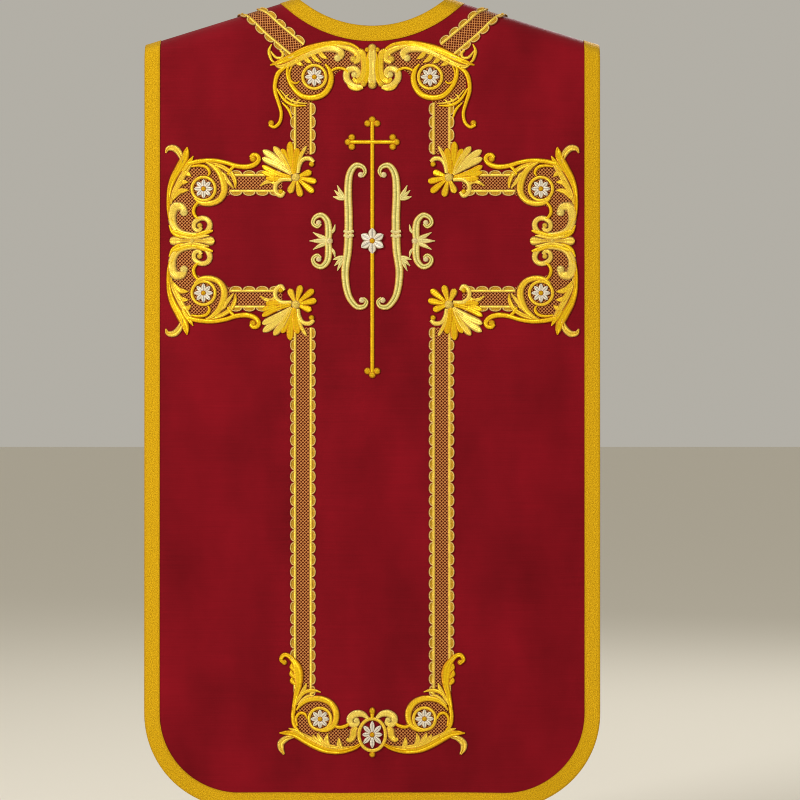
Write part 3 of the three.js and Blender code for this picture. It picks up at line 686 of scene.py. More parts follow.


# %% [markdown]
# Satin stitch is glossy thread laid side by side. Gilt threads look paler where the light catches
# the crown of a stroke and brown where the stroke dips at its edge. Here that is painted into the
# colour by the place across the stroke: painted highlight towards the crown and painted shade at the
# edge. Fine ribs run across it.


# %% Satin stitch
def satin_stitch(name, stops, warm, pale, gloss, rough, metallic):
    """Satin stitch: threads laid side by side across the shape, so they show as fine ribs.

    stops colour it from its middle to its edge: pale towards the crown, a painted highlight, and
    brown at the edge, painted shade. A stroke's own tone, 0 to 1, turns it from warm to pale.
    """
    material, tree, shader, thread = start_material(name, gloss, rough, metallic)
    xy = add(tree, "ShaderNodeSeparateXYZ", (), {0: thread})
    across = add(tree, "ShaderNodeMath", "ABSOLUTE", {0: xy.outputs[1]})
    colour = add(tree, "ShaderNodeValToRGB", (), {0: across}, stops).outputs[0]
    tone = add(tree, "ShaderNodeAttribute", {"attribute_name": "tone"}).outputs["Fac"]
    for way, wanted in ((1.6, pale), (-1.6, warm)):
        share = add(tree, "ShaderNodeMath", {"operation": "MULTIPLY_ADD", "use_clamp": True},
                    {0: tone, 1: way, 2: -way / 2})
        colour = add(tree, "ShaderNodeMix", {"data_type": "RGBA"},
                     {0: share, 6: colour, 7: rgb(wanted)}).outputs[2]
    stretched = add(tree, "ShaderNodeVectorMath", "MULTIPLY",
                    {0: thread, 1: (1.25, 0.35, 1)})
    strands = add(tree, "ShaderNodeTexNoise", (), {"Vector": stretched, "Scale": 1, "Detail": 3})
    rib = ripple(tree, xy.outputs[0], 1.5)  # real threads are 0.3 mm, too fine to show
    shade = add(tree, "ShaderNodeMath", "MULTIPLY_ADD", {0: rib, 1: 0.1, 2: strands})
    shade = add(tree, "ShaderNodeValToRGB", (), {0: shade}, [(0.3, "#8f8f8f"), (0.62, "#ffffff")])
    laid = add(tree, "ShaderNodeMix", {"data_type": "RGBA", "blend_type": "MULTIPLY"},
               {0: 0.55, 6: colour, 7: shade})
    height = add(tree, "ShaderNodeMath", "MULTIPLY_ADD", {0: rib, 1: 0.5, 2: strands})
    finish_material(tree, shader, laid.outputs[2], height, 0.3, 0.8)
    return material


# %% Braid, net and threads of this garment
galloon_gilt = gilt_galloon()
gold_net = net_on_silk()
# Each list of stops runs from a stroke's middle to its edge: the pale stops near the crown are painted
# highlight and the brown at the edge is painted shade. The grey middle of the silver is painted shade
# in the groove down each petal.
scallop_satin = satin_stitch(
    "scallop_satin_stitch_embroidered",
    [(0.0, "#bc8a1a"), (0.3, "#d4a226"), (0.5, "#b27618"), (0.62, "#d8a442"), (0.8, "#eecb78"),
     (1.0, "#8a4812")],
    "#c0861c", "#f4d8a8", "#f0d090", 0.42, 0.1)
gold_satin = satin_stitch(
    "gold_satin_stitch_embroidered",
    [(0.0, "#e6b008"), (0.25, "#f8cf18"), (0.55, "#e2aa0c"), (0.78, "#b86e0a"), (1.0, "#522004")],
    "#d88a06", "#fdea84", "#ffe080", 0.33, 0.3)
pale_satin = satin_stitch(
    "pale_gold_satin_stitch_embroidered",
    [(0.0, "#8f8a34"), (0.16, "#d8cc6a"), (0.55, "#e8da86"), (0.8, "#d69c28"), (1.0, "#9a560e")],
    "#c99a22", "#f6e0b0", "#f0dc90", 0.4, 0.15)
silver_satin = satin_stitch(
    "silver_satin_stitch_embroidered",
    [(0.0, "#8c887c"), (0.22, "#ddd2bc"), (0.6, "#eee2ca"), (0.82, "#c4ae90"), (1.0, "#6e4c38")],
    "#e8a23a", "#ffffff", "#ffffff", 0.35, 0.1)
print(len(bpy.data.materials), "materials")

# %% [markdown]
# ## The cloths
# Face cloth, interlining and lining lie one on another. Heights are measured from the face of
# the face cloth, so the layers under it are below zero.

# %% Cloth layers
LAYERS = {  # name: (material, inset, bottom, top), millimetres
    "lining": (lining_satin, 1.5, -2.9, -2.3),
    "interlining": (linen_canvas, 3, -2.15, -1.0),
    "face_cloth": (crimson_silk, 0, -0.85, 0),
}


def hang_on_front(piece):
    """A piece of the front, which is sewn to the shoulders at the seam. Its placing is baked into
    its mesh.
    """
    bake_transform(piece)


def finish_piece(piece, node, body):
    """Hide the imported part that a piece stands for; hang a piece of the back on the back's
    empty, and bake a piece of the front in place.
    """
    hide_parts(node)
    if body == "back":
        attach(piece, "back")
    else:
        hang_on_front(piece)


CLOTH_MESH = 11  # mesh size on the flat cloth, in millimetres
for layer, (material, inset, low, high) in LAYERS.items():
    for body, outline in (("back", back_outline), ("front", front_outline)):
        piece, flat, area = cloth(
            f"{layer}_of_{body}", outline(inset), CLOTH_MESH, low, high, PLACES[body], material)
        finish_piece(piece, f"{body}_{layer}", body)

# %% [markdown]
# ## Galloon
# Each run of braid is one strip between two parallel lines of the cut, so it keeps its width
# round the corners and over the shoulders.


# %% Galloon round every edge
def braid(name, node, outer, inner, body):
    """A flat woven strip between two lines that run side by side.

    Its underside has the same columns as its face, so that it follows the cloth over the fold.
    """
    work = Stitches(PLACES[body], 0.02)
    across = np.array([-1, -0.985, -0.93, -0.6, 0, 0.6, 0.93, 0.985, 1])
    rise = np.array([0.45, 0.85, 1.1, 1.0, 0.95, 1.0, 1.1, 0.85, 0.45])
    share = (across[None, :, None] + 1) / 2
    grid = outer[:, None] * (1 - share) + inner[:, None] * share
    run = run_along(grid[:, len(across) // 2])
    work.body(
        grid, np.broadcast_to(rise, grid.shape[:2]), run[:, None], across, 0.5, range(len(across)))
    finish_piece(work.make(name, galloon_gilt), node, body)
    return run[-1]


def whole(side):
    """A line made of a right side and its mirror image."""
    return np.concatenate([mirror(side)[:-1], side])


runs = []
for name, node, line, body in (
        ("galloon_of_back_edge", "back_edge_galloon", lambda inset: whole(back_side(inset)), "back"),
        ("galloon_of_neck", "neck_galloon_back",
         lambda inset: whole(neck_side(inset)[::-1])[::-1], "back"),
        ("galloon_of_front_edge", "front_edge_galloon",
         lambda inset: np.concatenate([front_side(inset), mirror(front_side(inset))[1:]]), "front"),
        ("galloon_of_front_neck", "neck_galloon_front", front_neck, "front")):
    runs.append(braid(name, node, line(0), line(GALLOON), body))
print(f"galloon: {sum(runs) * MM:.2f} m in all")

# %% [markdown]
# ## Shapes in a row
# Scallops along a band and petals round a flower repeat one small shape, so Geometry Nodes lay
# them: one tree puts a shape on every point of a guide, turned to two directions that the point
# carries. The tree ends in Realize Instances, and the result is kept as a plain mesh.

# %% The tree that lays shapes on points
row_tree = bpy.data.node_groups.new("sewn_row", "GeometryNodeTree")
row_tree.interface.new_socket("Guide", in_out="INPUT", socket_type="NodeSocketGeometry")
shape_input = row_tree.interface.new_socket("Shape", in_out="INPUT", socket_type="NodeSocketObject")
thread_input = row_tree.interface.new_socket("Thread", in_out="INPUT", socket_type="NodeSocketMaterial")
row_tree.interface.new_socket("Row", in_out="OUTPUT", socket_type="NodeSocketGeometry")
row_in = add(row_tree, "NodeGroupInput")
shape_info = add(row_tree, "GeometryNodeObjectInfo", (), {"Object": row_in.outputs["Shape"]})
carried = {}
for carried_name in ("up", "along", "size"):
    carried[carried_name] = add(row_tree, "GeometryNodeInputNamedAttribute",
                                {"data_type": "FLOAT_VECTOR"}, {"Name": carried_name})
turned = add(row_tree, "FunctionNodeAxesToRotation", {"primary_axis": "Z", "secondary_axis": "X"},
             {"Primary Axis": carried["up"], "Secondary Axis": carried["along"]})
laid = add(row_tree, "GeometryNodeInstanceOnPoints", (), {
    "Points": row_in.outputs["Guide"], "Instance": shape_info.outputs["Geometry"],
    "Rotation": turned, "Scale": carried["size"]})
real = add(row_tree, "GeometryNodeRealizeInstances", (), {"Geometry": laid})
dyed = add(row_tree, "GeometryNodeSetMaterial", (), {"Geometry": real,
                                                     "Material": row_in.outputs["Thread"]})
add(row_tree, "NodeGroupOutput", (), {"Row": dyed})
print(len(row_tree.nodes), "nodes in the tree that sews a row")


# %% Laying a row
def lay_row(name, shape, guides, material):
    """One mesh of copies of a shape; guides are (place, up, along, size) in metres."""
    mesh = bpy.data.meshes.new(name)
    mesh.from_pydata([tuple(g[0]) for g in guides], [], [])
    for k, key in ((1, "up"), (2, "along"), (3, "size")):
        values = np.array([g[k] for g in guides], np.float32)
        mesh.attributes.new(key, "FLOAT_VECTOR", "POINT").data.foreach_set("vector", values.ravel())
    guide = bpy.data.objects.new(name, mesh)
    bpy.context.scene.collection.objects.link(guide)
    row = guide.modifiers.new("row", "NODES")
    row.node_group = row_tree
    row[shape_input.identifier] = shape
    row[thread_input.identifier] = material
    graph = bpy.context.evaluated_depsgraph_get()
    laid_mesh = bpy.data.meshes.new_from_object(guide.evaluated_get(graph), depsgraph=graph)
    guide.modifiers.clear()
    guide.data = laid_mesh
    laid_mesh.name = name
    for key in ("up", "along", "size"):
        if key in laid_mesh.attributes:
            laid_mesh.attributes.remove(laid_mesh.attributes[key])
    face_outwards(laid_mesh)
    return guide


def flat_place(x, z, h):
    """A place for shapes that are drawn lying down, before they are laid."""
    return np.stack(np.broadcast_arrays(x, z, h), -1).astype(float) * MM


def shape_of(work, name, material):
    """The shape that a row repeats: made, and kept out of the view."""
    shape = work.make(name, material)
    shape.hide_render = True
    return shape


def guide_at(place, spot, outward, size=(1, 1, 1), lift=0.2):
    """Where a shape lies on the cloth, with its Y axis turned outwards along the cloth."""
    here = place(spot[0], spot[1], lift)
    up = place(spot[0], spot[1], lift + 1) - here
    out = place(spot[0] + outward[0], spot[1] + outward[1], lift) - here
    along = np.cross(out, up)
    return here, up / np.linalg.norm(up), along / np.linalg.norm(along), size


# %% [markdown]
# ## Net bands
# The cross is drawn with bands of gold net on brown silk. A gold cord runs along both edges of
# the net, and outside it a row of padded scallops, each a small half moon of satin stitch.

# %% The scallop
NET_HALF = 8.8  # half the width of the bare net
CORD_AT = 11.2  # from the middle of a band to the middle of its edge cord
SCALLOP_ROOT = 12.0
SCALLOP_PITCH = 16.8
SCALLOP_DEPTH = 6.3


def scallop_shape():
    """A half moon of stitches with a cord round its edge."""
    work = Stitches(flat_place, base=0)
    turn = np.linspace(0, math.pi, 11)[:, None]
    half = SCALLOP_PITCH / 2 * 1.01
    moon = np.concatenate([half * np.cos(turn), SCALLOP_DEPTH * np.sin(turn) ** 0.75], 1)[:, None]
    reach = np.linspace(0.02, 0.74, 4)[None, :, None]
    work.body(
        moon * reach, np.full((11, 4), 0.7) + 0.35 * reach[..., 0], turn * 8, reach[..., 0] * 0.6,
        0.5)
    # The rim's place across the satin ramp gives its crown the painted highlight and its outer edge the
    # painted shade.
    across = np.array([-1.0, -0.5, 0.3, 1.0])
    rim = 0.83 + 0.17 * across[None, :, None]
    work.body(
        moon * rim, 0.3 + 1.7 * np.sqrt(1 - across**2)[None] + 0 * turn, turn * 8,
        0.8 + 0.18 * across[None], 0.5)
    return work


scallop = shape_of(scallop_shape(), "scallop", scallop_satin)
print(len(scallop.data.polygons), "faces in a scallop")


# %% A band
def to_seam(line, place):
    """The line run on, or cut back, so that it ends on the front seam."""
    way = 1 if place is on_back else -1
    line = line[::way]
    onward = line[-1] - line[-2]
    line = np.concatenate([line, [line[-1] + onward / np.linalg.norm(onward) * 20]])
    left = (place(*line.T, 0)[:, 2] / MM - SEAM) * way
    last = np.argmax(left < 0)
    end = (line[last - 1]
           + (line[last] - line[last - 1]) * left[last - 1] / (left[last - 1] - left[last]))
    return np.concatenate([line[:last], [end]])[::way]


def band(name, paths, body, stop=None, sewn=False):
    """Net, edge cords and scallops along flat lines, for the node of the same name.

    stop gives the heights between which the outer side has its scallops, and sewn says that the
    band ends on the front seam.
    """
    place = PLACES[body]
    net, cords, guides = Stitches(place, base=0.05), Stitches(place, base=0.1), []
    for path in paths:
        lines = {}
        net_offsets = np.linspace(-1, 1, 7) * (NET_HALF + 0.6)
        for offset in (*net_offsets, -CORD_AT, CORD_AT, -SCALLOP_ROOT, SCALLOP_ROOT):
            line = beside(np.asarray(path, float), offset)
            lines[offset] = evenly(to_seam(line, place) if sewn else line, len(path))
        run = steps(lines[net_offsets[3]]).sum()
        along = np.linspace(0, run, len(path))[:, None]
        grid = np.stack([lines[offset] for offset in net_offsets], 1)
        net.body(grid, np.full(grid.shape[:2], 0.35), along, net_offsets[None], 0.5)
        for side in (-1, 1):
            cord = evenly(lines[side * CORD_AT], math.ceil(run / 3))
            sew(cords, *[(*p, 2.3) for p in cord], tone=0.7, crown=1.8, sections=7)
            root = evenly(lines[side * SCALLOP_ROOT], 400)
            length = steps(root).sum()
            count = max(1, round(length / SCALLOP_PITCH))
            outward = beside(root, side) - root
            for k in range(count):
                i = round(399 * (k + 0.5) / count)
                outer = abs(root[i][0] + outward[i][0]) > abs(root[i][0])
                if stop and outer and not stop[0] < root[i][1] < stop[1]:
                    continue
                size = (length / count / SCALLOP_PITCH, 1, 1)
                guides.append(guide_at(place, root[i], outward[i], size))
    finish_piece(net.make(f"{name}_net", gold_net), name, body)
    finish_piece(cords.make(f"{name}_cords", gold_satin), name, body)
    row = lay_row(f"{name}_scallops", scallop, guides, scallop_satin)
    finish_piece(row, name, body)
    return len(guides)


def down(x, top, bottom):
    """A straight upright line."""
    return np.stack([np.full(60, x), np.linspace(top, bottom, 60)], -1)


def level(z, start, end):
    """A straight line across."""
    return np.stack([np.linspace(start, end, 40), np.full(40, z)], -1)


# %% Where the bands run
SHOULDER_LINE = [(-103, -51), (-116, -40), (-150, -10), (-171.5, 18.3), (-165, 58), (-150, 105.5),
                 (-134.2, 155.6)]
ARM_RISE = 81  # from the middle of the cross to the middle of an arm's band
ARM_START, ARM_END = 126, 200
FOOT_FLOWER_X, FOOT_FLOWER_RISE = 73, 125  # from the middle, and from the hem
BAND_END_RISE = FOOT_FLOWER_RISE + 31  # the scroll of the foot covers the rest
LEAF_TOP_RISE = 212  # the leaf of the foot lies over the outer scallops below this
SEAM_BAND_X = 134.2
FRONT_BAND_TURN = -190

SIDES = ((1, "left"), (-1, "right"))
ROWS = ((1, "upper"), (-1, "lower"))

# %% Bands of the back and the front
scallops = 0
for side, word in SIDES:
    mirrored = np.array([side, 1])
    shoulder = evenly(curve_through(SHOULDER_LINE)[0], 90)
    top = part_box(f"upper_band_{word}")[1].z / MM
    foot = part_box(f"upper_band_{word}")[0].z / MM
    low_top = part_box(f"lower_band_{word}")[1].z / MM
    low_line = down(-side * BAND_X, low_top, BACK_HEM + BAND_END_RISE)
    arms = [level(CROSS_Z + rise * ARM_RISE, -side * ARM_START, -side * ARM_END) for rise in (1, -1)]
    scallops += band(f"shoulder_band_{word}", [shoulder * mirrored], "back", sewn=True)
    scallops += band(f"upper_band_{word}", [down(-side * BAND_X, top, foot)], "back")
    scallops += band(f"lower_band_{word}", [low_line], "back", (BACK_HEM + LEAF_TOP_RISE, low_top))
    scallops += band(f"arm_band_{word}", arms, "back")
    front_line = curve_through(
        [(-SEAM_BAND_X, SEAM), (-112, -148), (-BAND_X, FRONT_BAND_TURN - 16), (-BAND_X, -300),
         (-BAND_X, FRONT_HEM + BAND_END_RISE)])[0]
    scallops += band(f"front_band_{word}", [evenly(front_line, 200) * mirrored], "front", sewn=True)
print(scallops, "scallops")

# %% [markdown]
# Where two bands meet at a corner, the net runs on under the scrolls. Those patches are cut to a
# curved outline.


# %% Net patches under the corners
def patch(name, node, outlines, body):
    """Pieces of net with smooth outlines, in one mesh; points are (x, z) on the garment."""
    parts = []
    for points in outlines:
        outline = curve_through(points, 4.0, closed=True)[0][:-1]
        left, bottom = outline.min(0)
        right, top = outline.max(0)
        inner = np.array([(x, z) for x in np.arange(left, right, 8) for z in np.arange(bottom, top, 8)])
        flat, faces = fill(outline, inner)
        uv = flat[:, ::-1]  # its first axis runs upwards, as along the upright bands
        parts.append(slab(name, flat, faces, 0.05, 0.38, PLACES[body], gold_net, uv))
    finish_piece(join(parts, name), node, body)


def join(parts, name):
    """Several meshes as one piece."""
    shape = bmesh.new()
    for part in parts:
        shape.from_mesh(part.data)
    whole_mesh = bpy.data.meshes.new(name)
    shape.to_mesh(whole_mesh)
    shape.free()
    whole_mesh.materials.append(parts[0].data.materials[0])
    for part in parts:
        bpy.data.objects.remove(part)
    face_outwards(whole_mesh)
    piece = bpy.data.objects.new(name, whole_mesh)
    bpy.context.scene.collection.objects.link(piece)
    return piece


def symmetrical(left):
    """An outline from its left half."""
    return [*left, *[(-x, z) for x, z in reversed(left)]]


# %% Outlines of the net, about the middle of the nearest flower
NECK_FLOWER = (-81, NECK_BOTTOM - 72)
FOOT_FLOWER = (-FOOT_FLOWER_X, BACK_HEM + FOOT_FLOWER_RISE)
FRONT_FLOWER = (-FOOT_FLOWER_X, FRONT_HEM + FOOT_FLOWER_RISE)
ARM_FLOWER_X, ARM_FLOWER_RISE = -236, 73
NECK_NET = [(-25, 37), (-55, 41), (-85, 30), (-112, 18), (-130, -2), (-128, -34), (-116, -42),
            (-98, -42), (-78, -30), (-60, -16), (-52, 3), (-40, 10), (-22, 3)]
FOOT_NET = [(-18, -14), (-28, -15), (-44, -9), (-53, -3), (-56, 20), (-74, 29), (-92, 38), (-104, 34),
            (-109, 4),
            (-104, -14), (-84, -30), (-56, -38), (-26, -39), (-18, -31), (-20, -22)]
ARM_NET = [(44, 16), (28, 27), (0, 35), (-22, 30), (-34, 14), (-41, -8), (-45, -28), (-42, -46),
           (-32, -60), (-14, -60), (-10, -42), (-13, -28), (4, -21), (26, -14), (44, -1)]


def pair(left):
    """A piece on the left and its mirror image on the right."""
    return [left, [(-x, z) for x, z in reversed(left)]]


def flowerwise(points, z):
    """Points whose heights are given from the middle of a flower at z."""
    return [(x, z + dz) for x, dz in points]


patch("neck_net", "neck_band", [symmetrical(flowerwise(NECK_NET, NECK_FLOWER[1]))], "back")
patch("foot_net", "foot_band", pair(flowerwise(FOOT_NET, FOOT_FLOWER[1])), "back")
patch("front_foot_net", "front_foot_band", pair(flowerwise(FOOT_NET, FRONT_FLOWER[1])), "front")
for side, word in SIDES:
    corners = [[(side * (ARM_FLOWER_X + x), CROSS_Z + rise * (ARM_FLOWER_RISE + z)) for x, z in ARM_NET]
               for rise in (1, -1)]
    patch(f"arm_net_{word}", f"arm_band_{word}", corners, "back")
print("net under the neck, both feet and the arms")

# %% [markdown]
# ## Scrolls
# The scrolls are padded gold work: satin stitch over a core of cord, so each stroke stands up in
# a round ridge. Each motif below is a short list of strokes, drawn about the middle of its own
# flower. A stroke is a line of points with half its width at each; crossing strokes are closed
# bodies that overlap, as the real layers of thread do.

# %% The corner of an arm
RING_R = 16.3  # middle of the ring round a flower


def ring(work, radius=RING_R, half=2.3, stretch=1.0, tone=0.55):
    """A round frame for a flower."""
    a = np.linspace(0, 2 * np.pi, 40)
    rows = [(radius * math.cos(t), radius * stretch * math.sin(t), half) for t in a]
    sew(work, *rows, tone=tone, crown=1.9)


def arm_corner(work):
    """A rising leaf, a long tendril and a rolled scroll round the flower of an arm."""
    ring(work)
    sew(work, (4, 37, 1.5), (14, 31, 3.4), (23, 21, 4.4), (28.5, 6, 4.8), (28, -6, 4.5),
        (21, -16, 4), (9, -20.5, 3.8), (-4, -19.5, 3.2), (-13, -13, 1.6), tone=0.55, crown=2.4)
    sew(work, (-17, 31, 1.4), (-6, 32.5, 2.1), (4, 30, 2.4), (8.5, 23, 2.2), (6, 18, 1.2),
        tone=0.45)
    sew(work, (-21, 35, 3.4), (-5, 38.5, 3.2), (13, 39.5, 3), (30, 36.8, 3), (46, 32, 3.2),
        (60, 30.8, 3.5), (71, 34, 3.4), (77, 40.5, 3.2), (75, 46.5, 3), (69, 47.5, 2.8),
        (65.5, 43.5, 2.4), tone=0.45)
    knob(work, 69, 42, 5, tone=0.35)
    sew(work, (2, 36.5, 1), (16, 34, 2.8), (29, 29, 3.2), (39, 21, 3.2), (44, 10, 2.8),
        (44.5, 1, 1), tone=0.55, vein=0.5)
    sew(work, (8, 33, 1), (20, 26, 2.8), (29, 17, 3), (36, 8, 2.6), (42, 0.5, 0.8), tone=0.62,
        vein=0.4)
    sew(work, (19, 22, 1), (29, 20, 2.2), (32, 12, 2), (36, 11, 0.6), tone=0.6)
    sew(work, (47, 34, 1.4), (39, 28, 2.4), (34, 20, 1.6), (39, 22, 0.6), tone=0.5)
    sew(work, (-53, 50, 0.9), (-50, 56, 3), (-42, 57, 4), (-35, 51.5, 4), (-31, 43, 2.8),
        (-31, 36, 1.2), tone=0.66, vein=0.8)
    sew(work, (-23, 58.5, 0.8), (-24, 52, 3.8), (-27, 42, 5.4), (-34, 29, 5.4), (-42, 15, 4.6),
        (-47, 1, 3.6), (-49, -13, 2.8), (-49, -28, 2.6), (-46.5, -42, 2.8), (-41.5, -53, 3),
        (-37, -62, 2.4), tone=0.45, vein=0.6)
    sew(work, (-14.5, 46, 0.6), (-18, 40, 2.8), (-23, 33, 3.6), (-29, 24, 3), tone=0.5, vein=0.3)
    sew(work, (-15, 36, 1), (-21, 31, 3.4), (-28, 20, 4.2), (-36, 6, 3.8), (-43, -8, 2.6),
        (-46, -22, 1.4), tone=0.6, vein=0.5)
    for root, bulge, tip in (((-43, -10), (-33, 7), (-21, 9.5)), ((-45, -17), (-35, -5), (-21, -2)),
                             ((-30, 18), (-25, 21.5), (-17.5, 17))):
        sew(work, (*root, 1.4), (*bulge, 3.8),
            ((bulge[0] + tip[0]) / 2, (bulge[1] + tip[1]) / 2 + 1, 3.4), (*tip, 0.7), tone=0.56,
            vein=0.4)
    c_scroll(work)
    sew(work, (-8, -19, 2), (-13, -26, 2.4), (-13.8, -34, 2.4), (-10, -40, 2.2), (-5, -43, 1.6),
        tone=0.45)


def c_scroll(work):
    """The broad scroll that rolls in at both ends."""
    sew(work, (-26, -31, 3.6), (-31, -25.5, 5), (-39.5, -25.5, 5.8), (-43.5, -33, 5.4),
        (-43.5, -46, 4.8), (-38, -57, 4.4), (-28, -63, 4), (-13, -65, 3.6), (0, -63, 3.6),
        (7, -57, 3.6), (8.5, -48, 3.4), (3, -42, 3.2), (-6, -42, 3.2), (-13, -48, 3),
        (-12.5, -56, 2.8), (-6.5, -58.5, 2.8), (-3, -54, 2.4), tone=0.72, crown=2.3, vein=0.3)
    knob(work, -27.5, -33, 5.6, tone=0.92, height=2.8)
    knob(work, -5.5, -51.5, 4.2, tone=0.6, height=2.4)
    sew(work, (-21, -68, 1.2), (-33, -67, 2.8), (-43, -61, 2.6), (-48, -51, 1.2), tone=0.5)


def clasp(work):
    """Two drops end to end, with the ends of the scrolls above and below drawn together."""
    for way in (-1, 1):
        for rise in (-1, 1):
            sew(work, (way * 29, rise * 14.5, 1.4), (way * 20, rise * 12, 3.4),
                (way * 9, rise * 8.5, 3.4), (0, rise * 7, 2.8), tone=0.52, crown=2.2)
            sew(work, (way * 24, rise * 7.5, 0.8), (way * 14, rise * 6, 2.2),
                (way * 4, rise * 3.8, 2.4), (0, rise * 3.6, 2.2), tone=0.62, crown=2.2)
        sew(work, (0, 0, 2.2), (way * 9, 0, 2.4), (way * 16, 0, 3.4), (way * 22, 0, 5),
            (way * 26.5, 0, 5.4), (way * 30, 0, 4), (way * 31.5, 0, 1.6), tone=0.68, crown=2.9,
            vein=0.55)
    knob(work, 0, 0, 3.6, tone=0.75, height=3.2)


# %% The leaf where two bands meet
def petal(work, tip, half, tone=0.5):
    """A petal that is broadest near its round tip, with a groove down the middle."""
    rows = [(tip[0] * t, tip[1] * t, half * w) for t, w in
            ((0.1, 0.4), (0.4, 0.65), (0.7, 0.95), (0.88, 0.9), (0.97, 0.6), (1.0, 0.2))]
    sew(work, *rows, tone=tone, crown=2.4, vein=0.4)


def palmette(work):
    """Four fans of pointed leaves, round petals and two tendrils about one knob."""
    fan(work, (-2, 4), [(-19, 40), (3, 41), (-8, 50)], 5.2, tone=0.36, bend=0.03)
    fan(work, (-6, 4), [(-47, 27), (-31, 43), (-46, 38)], 4.6, tone=0.72, bend=-0.04)
    fan(work, (-7, 1), [(-47, 16.5), (-42, -1), (-47, 8)], 4.3, tone=0.4, bend=0.07)
    fan(work, (2, 6), [(7, 33), (11, 39), (15, 44)], 2.6, tone=0.62, bend=0.08)
    for tip, tone in (((29, -6), 0.5), ((25, -21), 0.45), ((7, -27), 0.52), ((22, 8), 0.5),
                      ((-9, -22), 0.55)):
        petal(work, tip, 4.7, tone)
    sew(work, (-6, -3, 2.4), (-20, -3, 3), (-28, -10, 2.8), (-28, -20, 3), (-21, -25.5, 3),
        (-16, -20, 2.2), tone=0.75, crown=2.3)
    knob(work, -21, -20, 4.2, tone=0.5, height=2.8)
    sew(work, (3, 6, 2.4), (4.5, 17, 3), (10, 25, 2.8), (19, 26.5, 3), (25, 21.5, 2.6), tone=0.75,
        crown=2.3)
    knob(work, 22, 18.5, 4.4, tone=0.5, height=2.8)
    sew(work, (-27, -12, 1.6), (-34, -6, 3), (-42, -7, 2.6), (-50, -12, 1), tone=0.62, vein=0.4)
    knob(work, 0, 0, 6.6, tone=0.78, height=3.6)


# %% The corner at the neck
def neck_corner(work):
    """The largest corner: a long arched leaf above the flower and tendrils below it."""
    ring(work)
    sew(work, (15, 18, 1.4), (21, 10, 3), (23.5, -2, 3.8), (20, -15, 4), (11, -25, 4),
        (-4, -29, 3.9), (-19, -25.5, 3.6), (-31, -13, 3.2), (-37, 0, 2.6), (-37.5, 12, 2),
        (-33, 20, 1.2), tone=0.5, crown=2.2)
    sew(work, (-30, 18, 1), (-35, 6, 1.6), (-33, -5, 1.7), (-26, -9, 1.6), (-21, -6, 1), tone=0.4)
    sew(work, (20, 5, 1.2), (27, 10.5, 2.1), (36, 12.5, 2.2), (45, 9, 2.2), (48, 2, 1.4), tone=0.45)
    sew(work, (-62, 16.5, 0.8), (-48, 21, 3.8), (-32, 28, 5), (-12, 37.5, 5.2), (10, 43.5, 5),
        (31, 46.5, 4.4), (50, 44, 4), (61, 38, 3.2), (66, 30, 1.8), tone=0.45, vein=0.6)
    sew(work, (-59, 22, 0.8), (-49, 14.5, 2.8), (-35, 17.5, 3.8), (-21, 25, 4.2), (-7, 31.5, 4),
        (8, 36, 2.4), tone=0.6, vein=0.5)
    sew(work, (-20, 26, 1), (-4, 34, 3), (13, 39, 4), (29, 39.5, 4.8), (37.5, 33.5, 4.6),
        (35, 26, 3.8), tone=0.72, crown=2.3, vein=0.3)
    knob(work, 32.5, 26.5, 5.2, tone=0.95, height=2.8)
    sew(work, (31, 44, 1.8), (48, 40, 4), (60, 33, 4.6), (61.5, 24.5, 4.2), (55, 20.5, 3.4),
        tone=0.62, crown=2.3)
    knob(work, 54.5, 25, 5.6, tone=0.62, height=2.8)
    for root, tip in (((-14, 30), (-3, 19)), ((-4, 33), (10, 20)), ((6, 37), (19, 25)),
                      ((-26, 25), (-15, 16))):
        middle = ((root[0] + tip[0]) / 2 - 1, (root[1] + tip[1]) / 2 - 1.5)
        sew(work, (*root, 2.6), (*middle, 3.6), (*tip, 0.7), tone=0.56, vein=0.4)
    sew(work, (68, -14, 2.6), (55, -12, 3.6), (45.5, -3, 4.2), (46.5, 8.5, 4.2), (57, 11.5, 3.8),
        (62.5, 4.5, 3.2), (58, -0.5, 2.6), tone=0.74, crown=2.3, vein=0.25)
    knob(work, 56, 3, 4.6, tone=0.95, height=2.8)
    sew(work, (45, -7, 1.4), (51, -14.5, 2.6), (60, -17, 2.6), (68, -15, 1.6), tone=0.6, vein=0.3)
    sew(work, (-40, 14, 2), (-50, 6, 3.2), (-54.5, -6, 3), (-55, -20, 2.8), (-50.5, -35, 2.6),
        (-46.5, -50, 2.4), (-48.5, -63, 2.4), (-56, -70, 2.4), (-63.5, -67, 2), tone=0.45)
    knob(work, -60.5, -64.5, 4.5, tone=0.3)
    sew(work, (-53, -16, 1.4), (-42, -32, 2.3), (-29, -39.5, 2.4), (-12, -40, 1), tone=0.5)
    sew(work, (-48, -18, 0.8), (-36, -31, 1.5), (-22, -36, 1.5), (-10, -37, 0.6), tone=0.6)
    for x, z in ((-38, -26), (-30, -31.5), (-22, -33)):
        sew(work, (x - 3, z - 6, 0.8), (x - 1, z - 1, 1.6), (x + 3, z + 2, 0.4), tone=0.6)
    sew(work, (-45, -36, 1), (-36, -46, 2.2), (-31, -60, 1), tone=0.5)
    sew(work, (-60, 46, 0.8), (-63.5, 36, 2.3), (-60, 24, 2), (-54, 19, 1), tone=0.55)
    sew(work, (-62, 37, 1), (-54, 27.5, 2), (-46, 27, 2), (-44, 33, 2.2), (-48, 37.5, 1.6),
        tone=0.6)


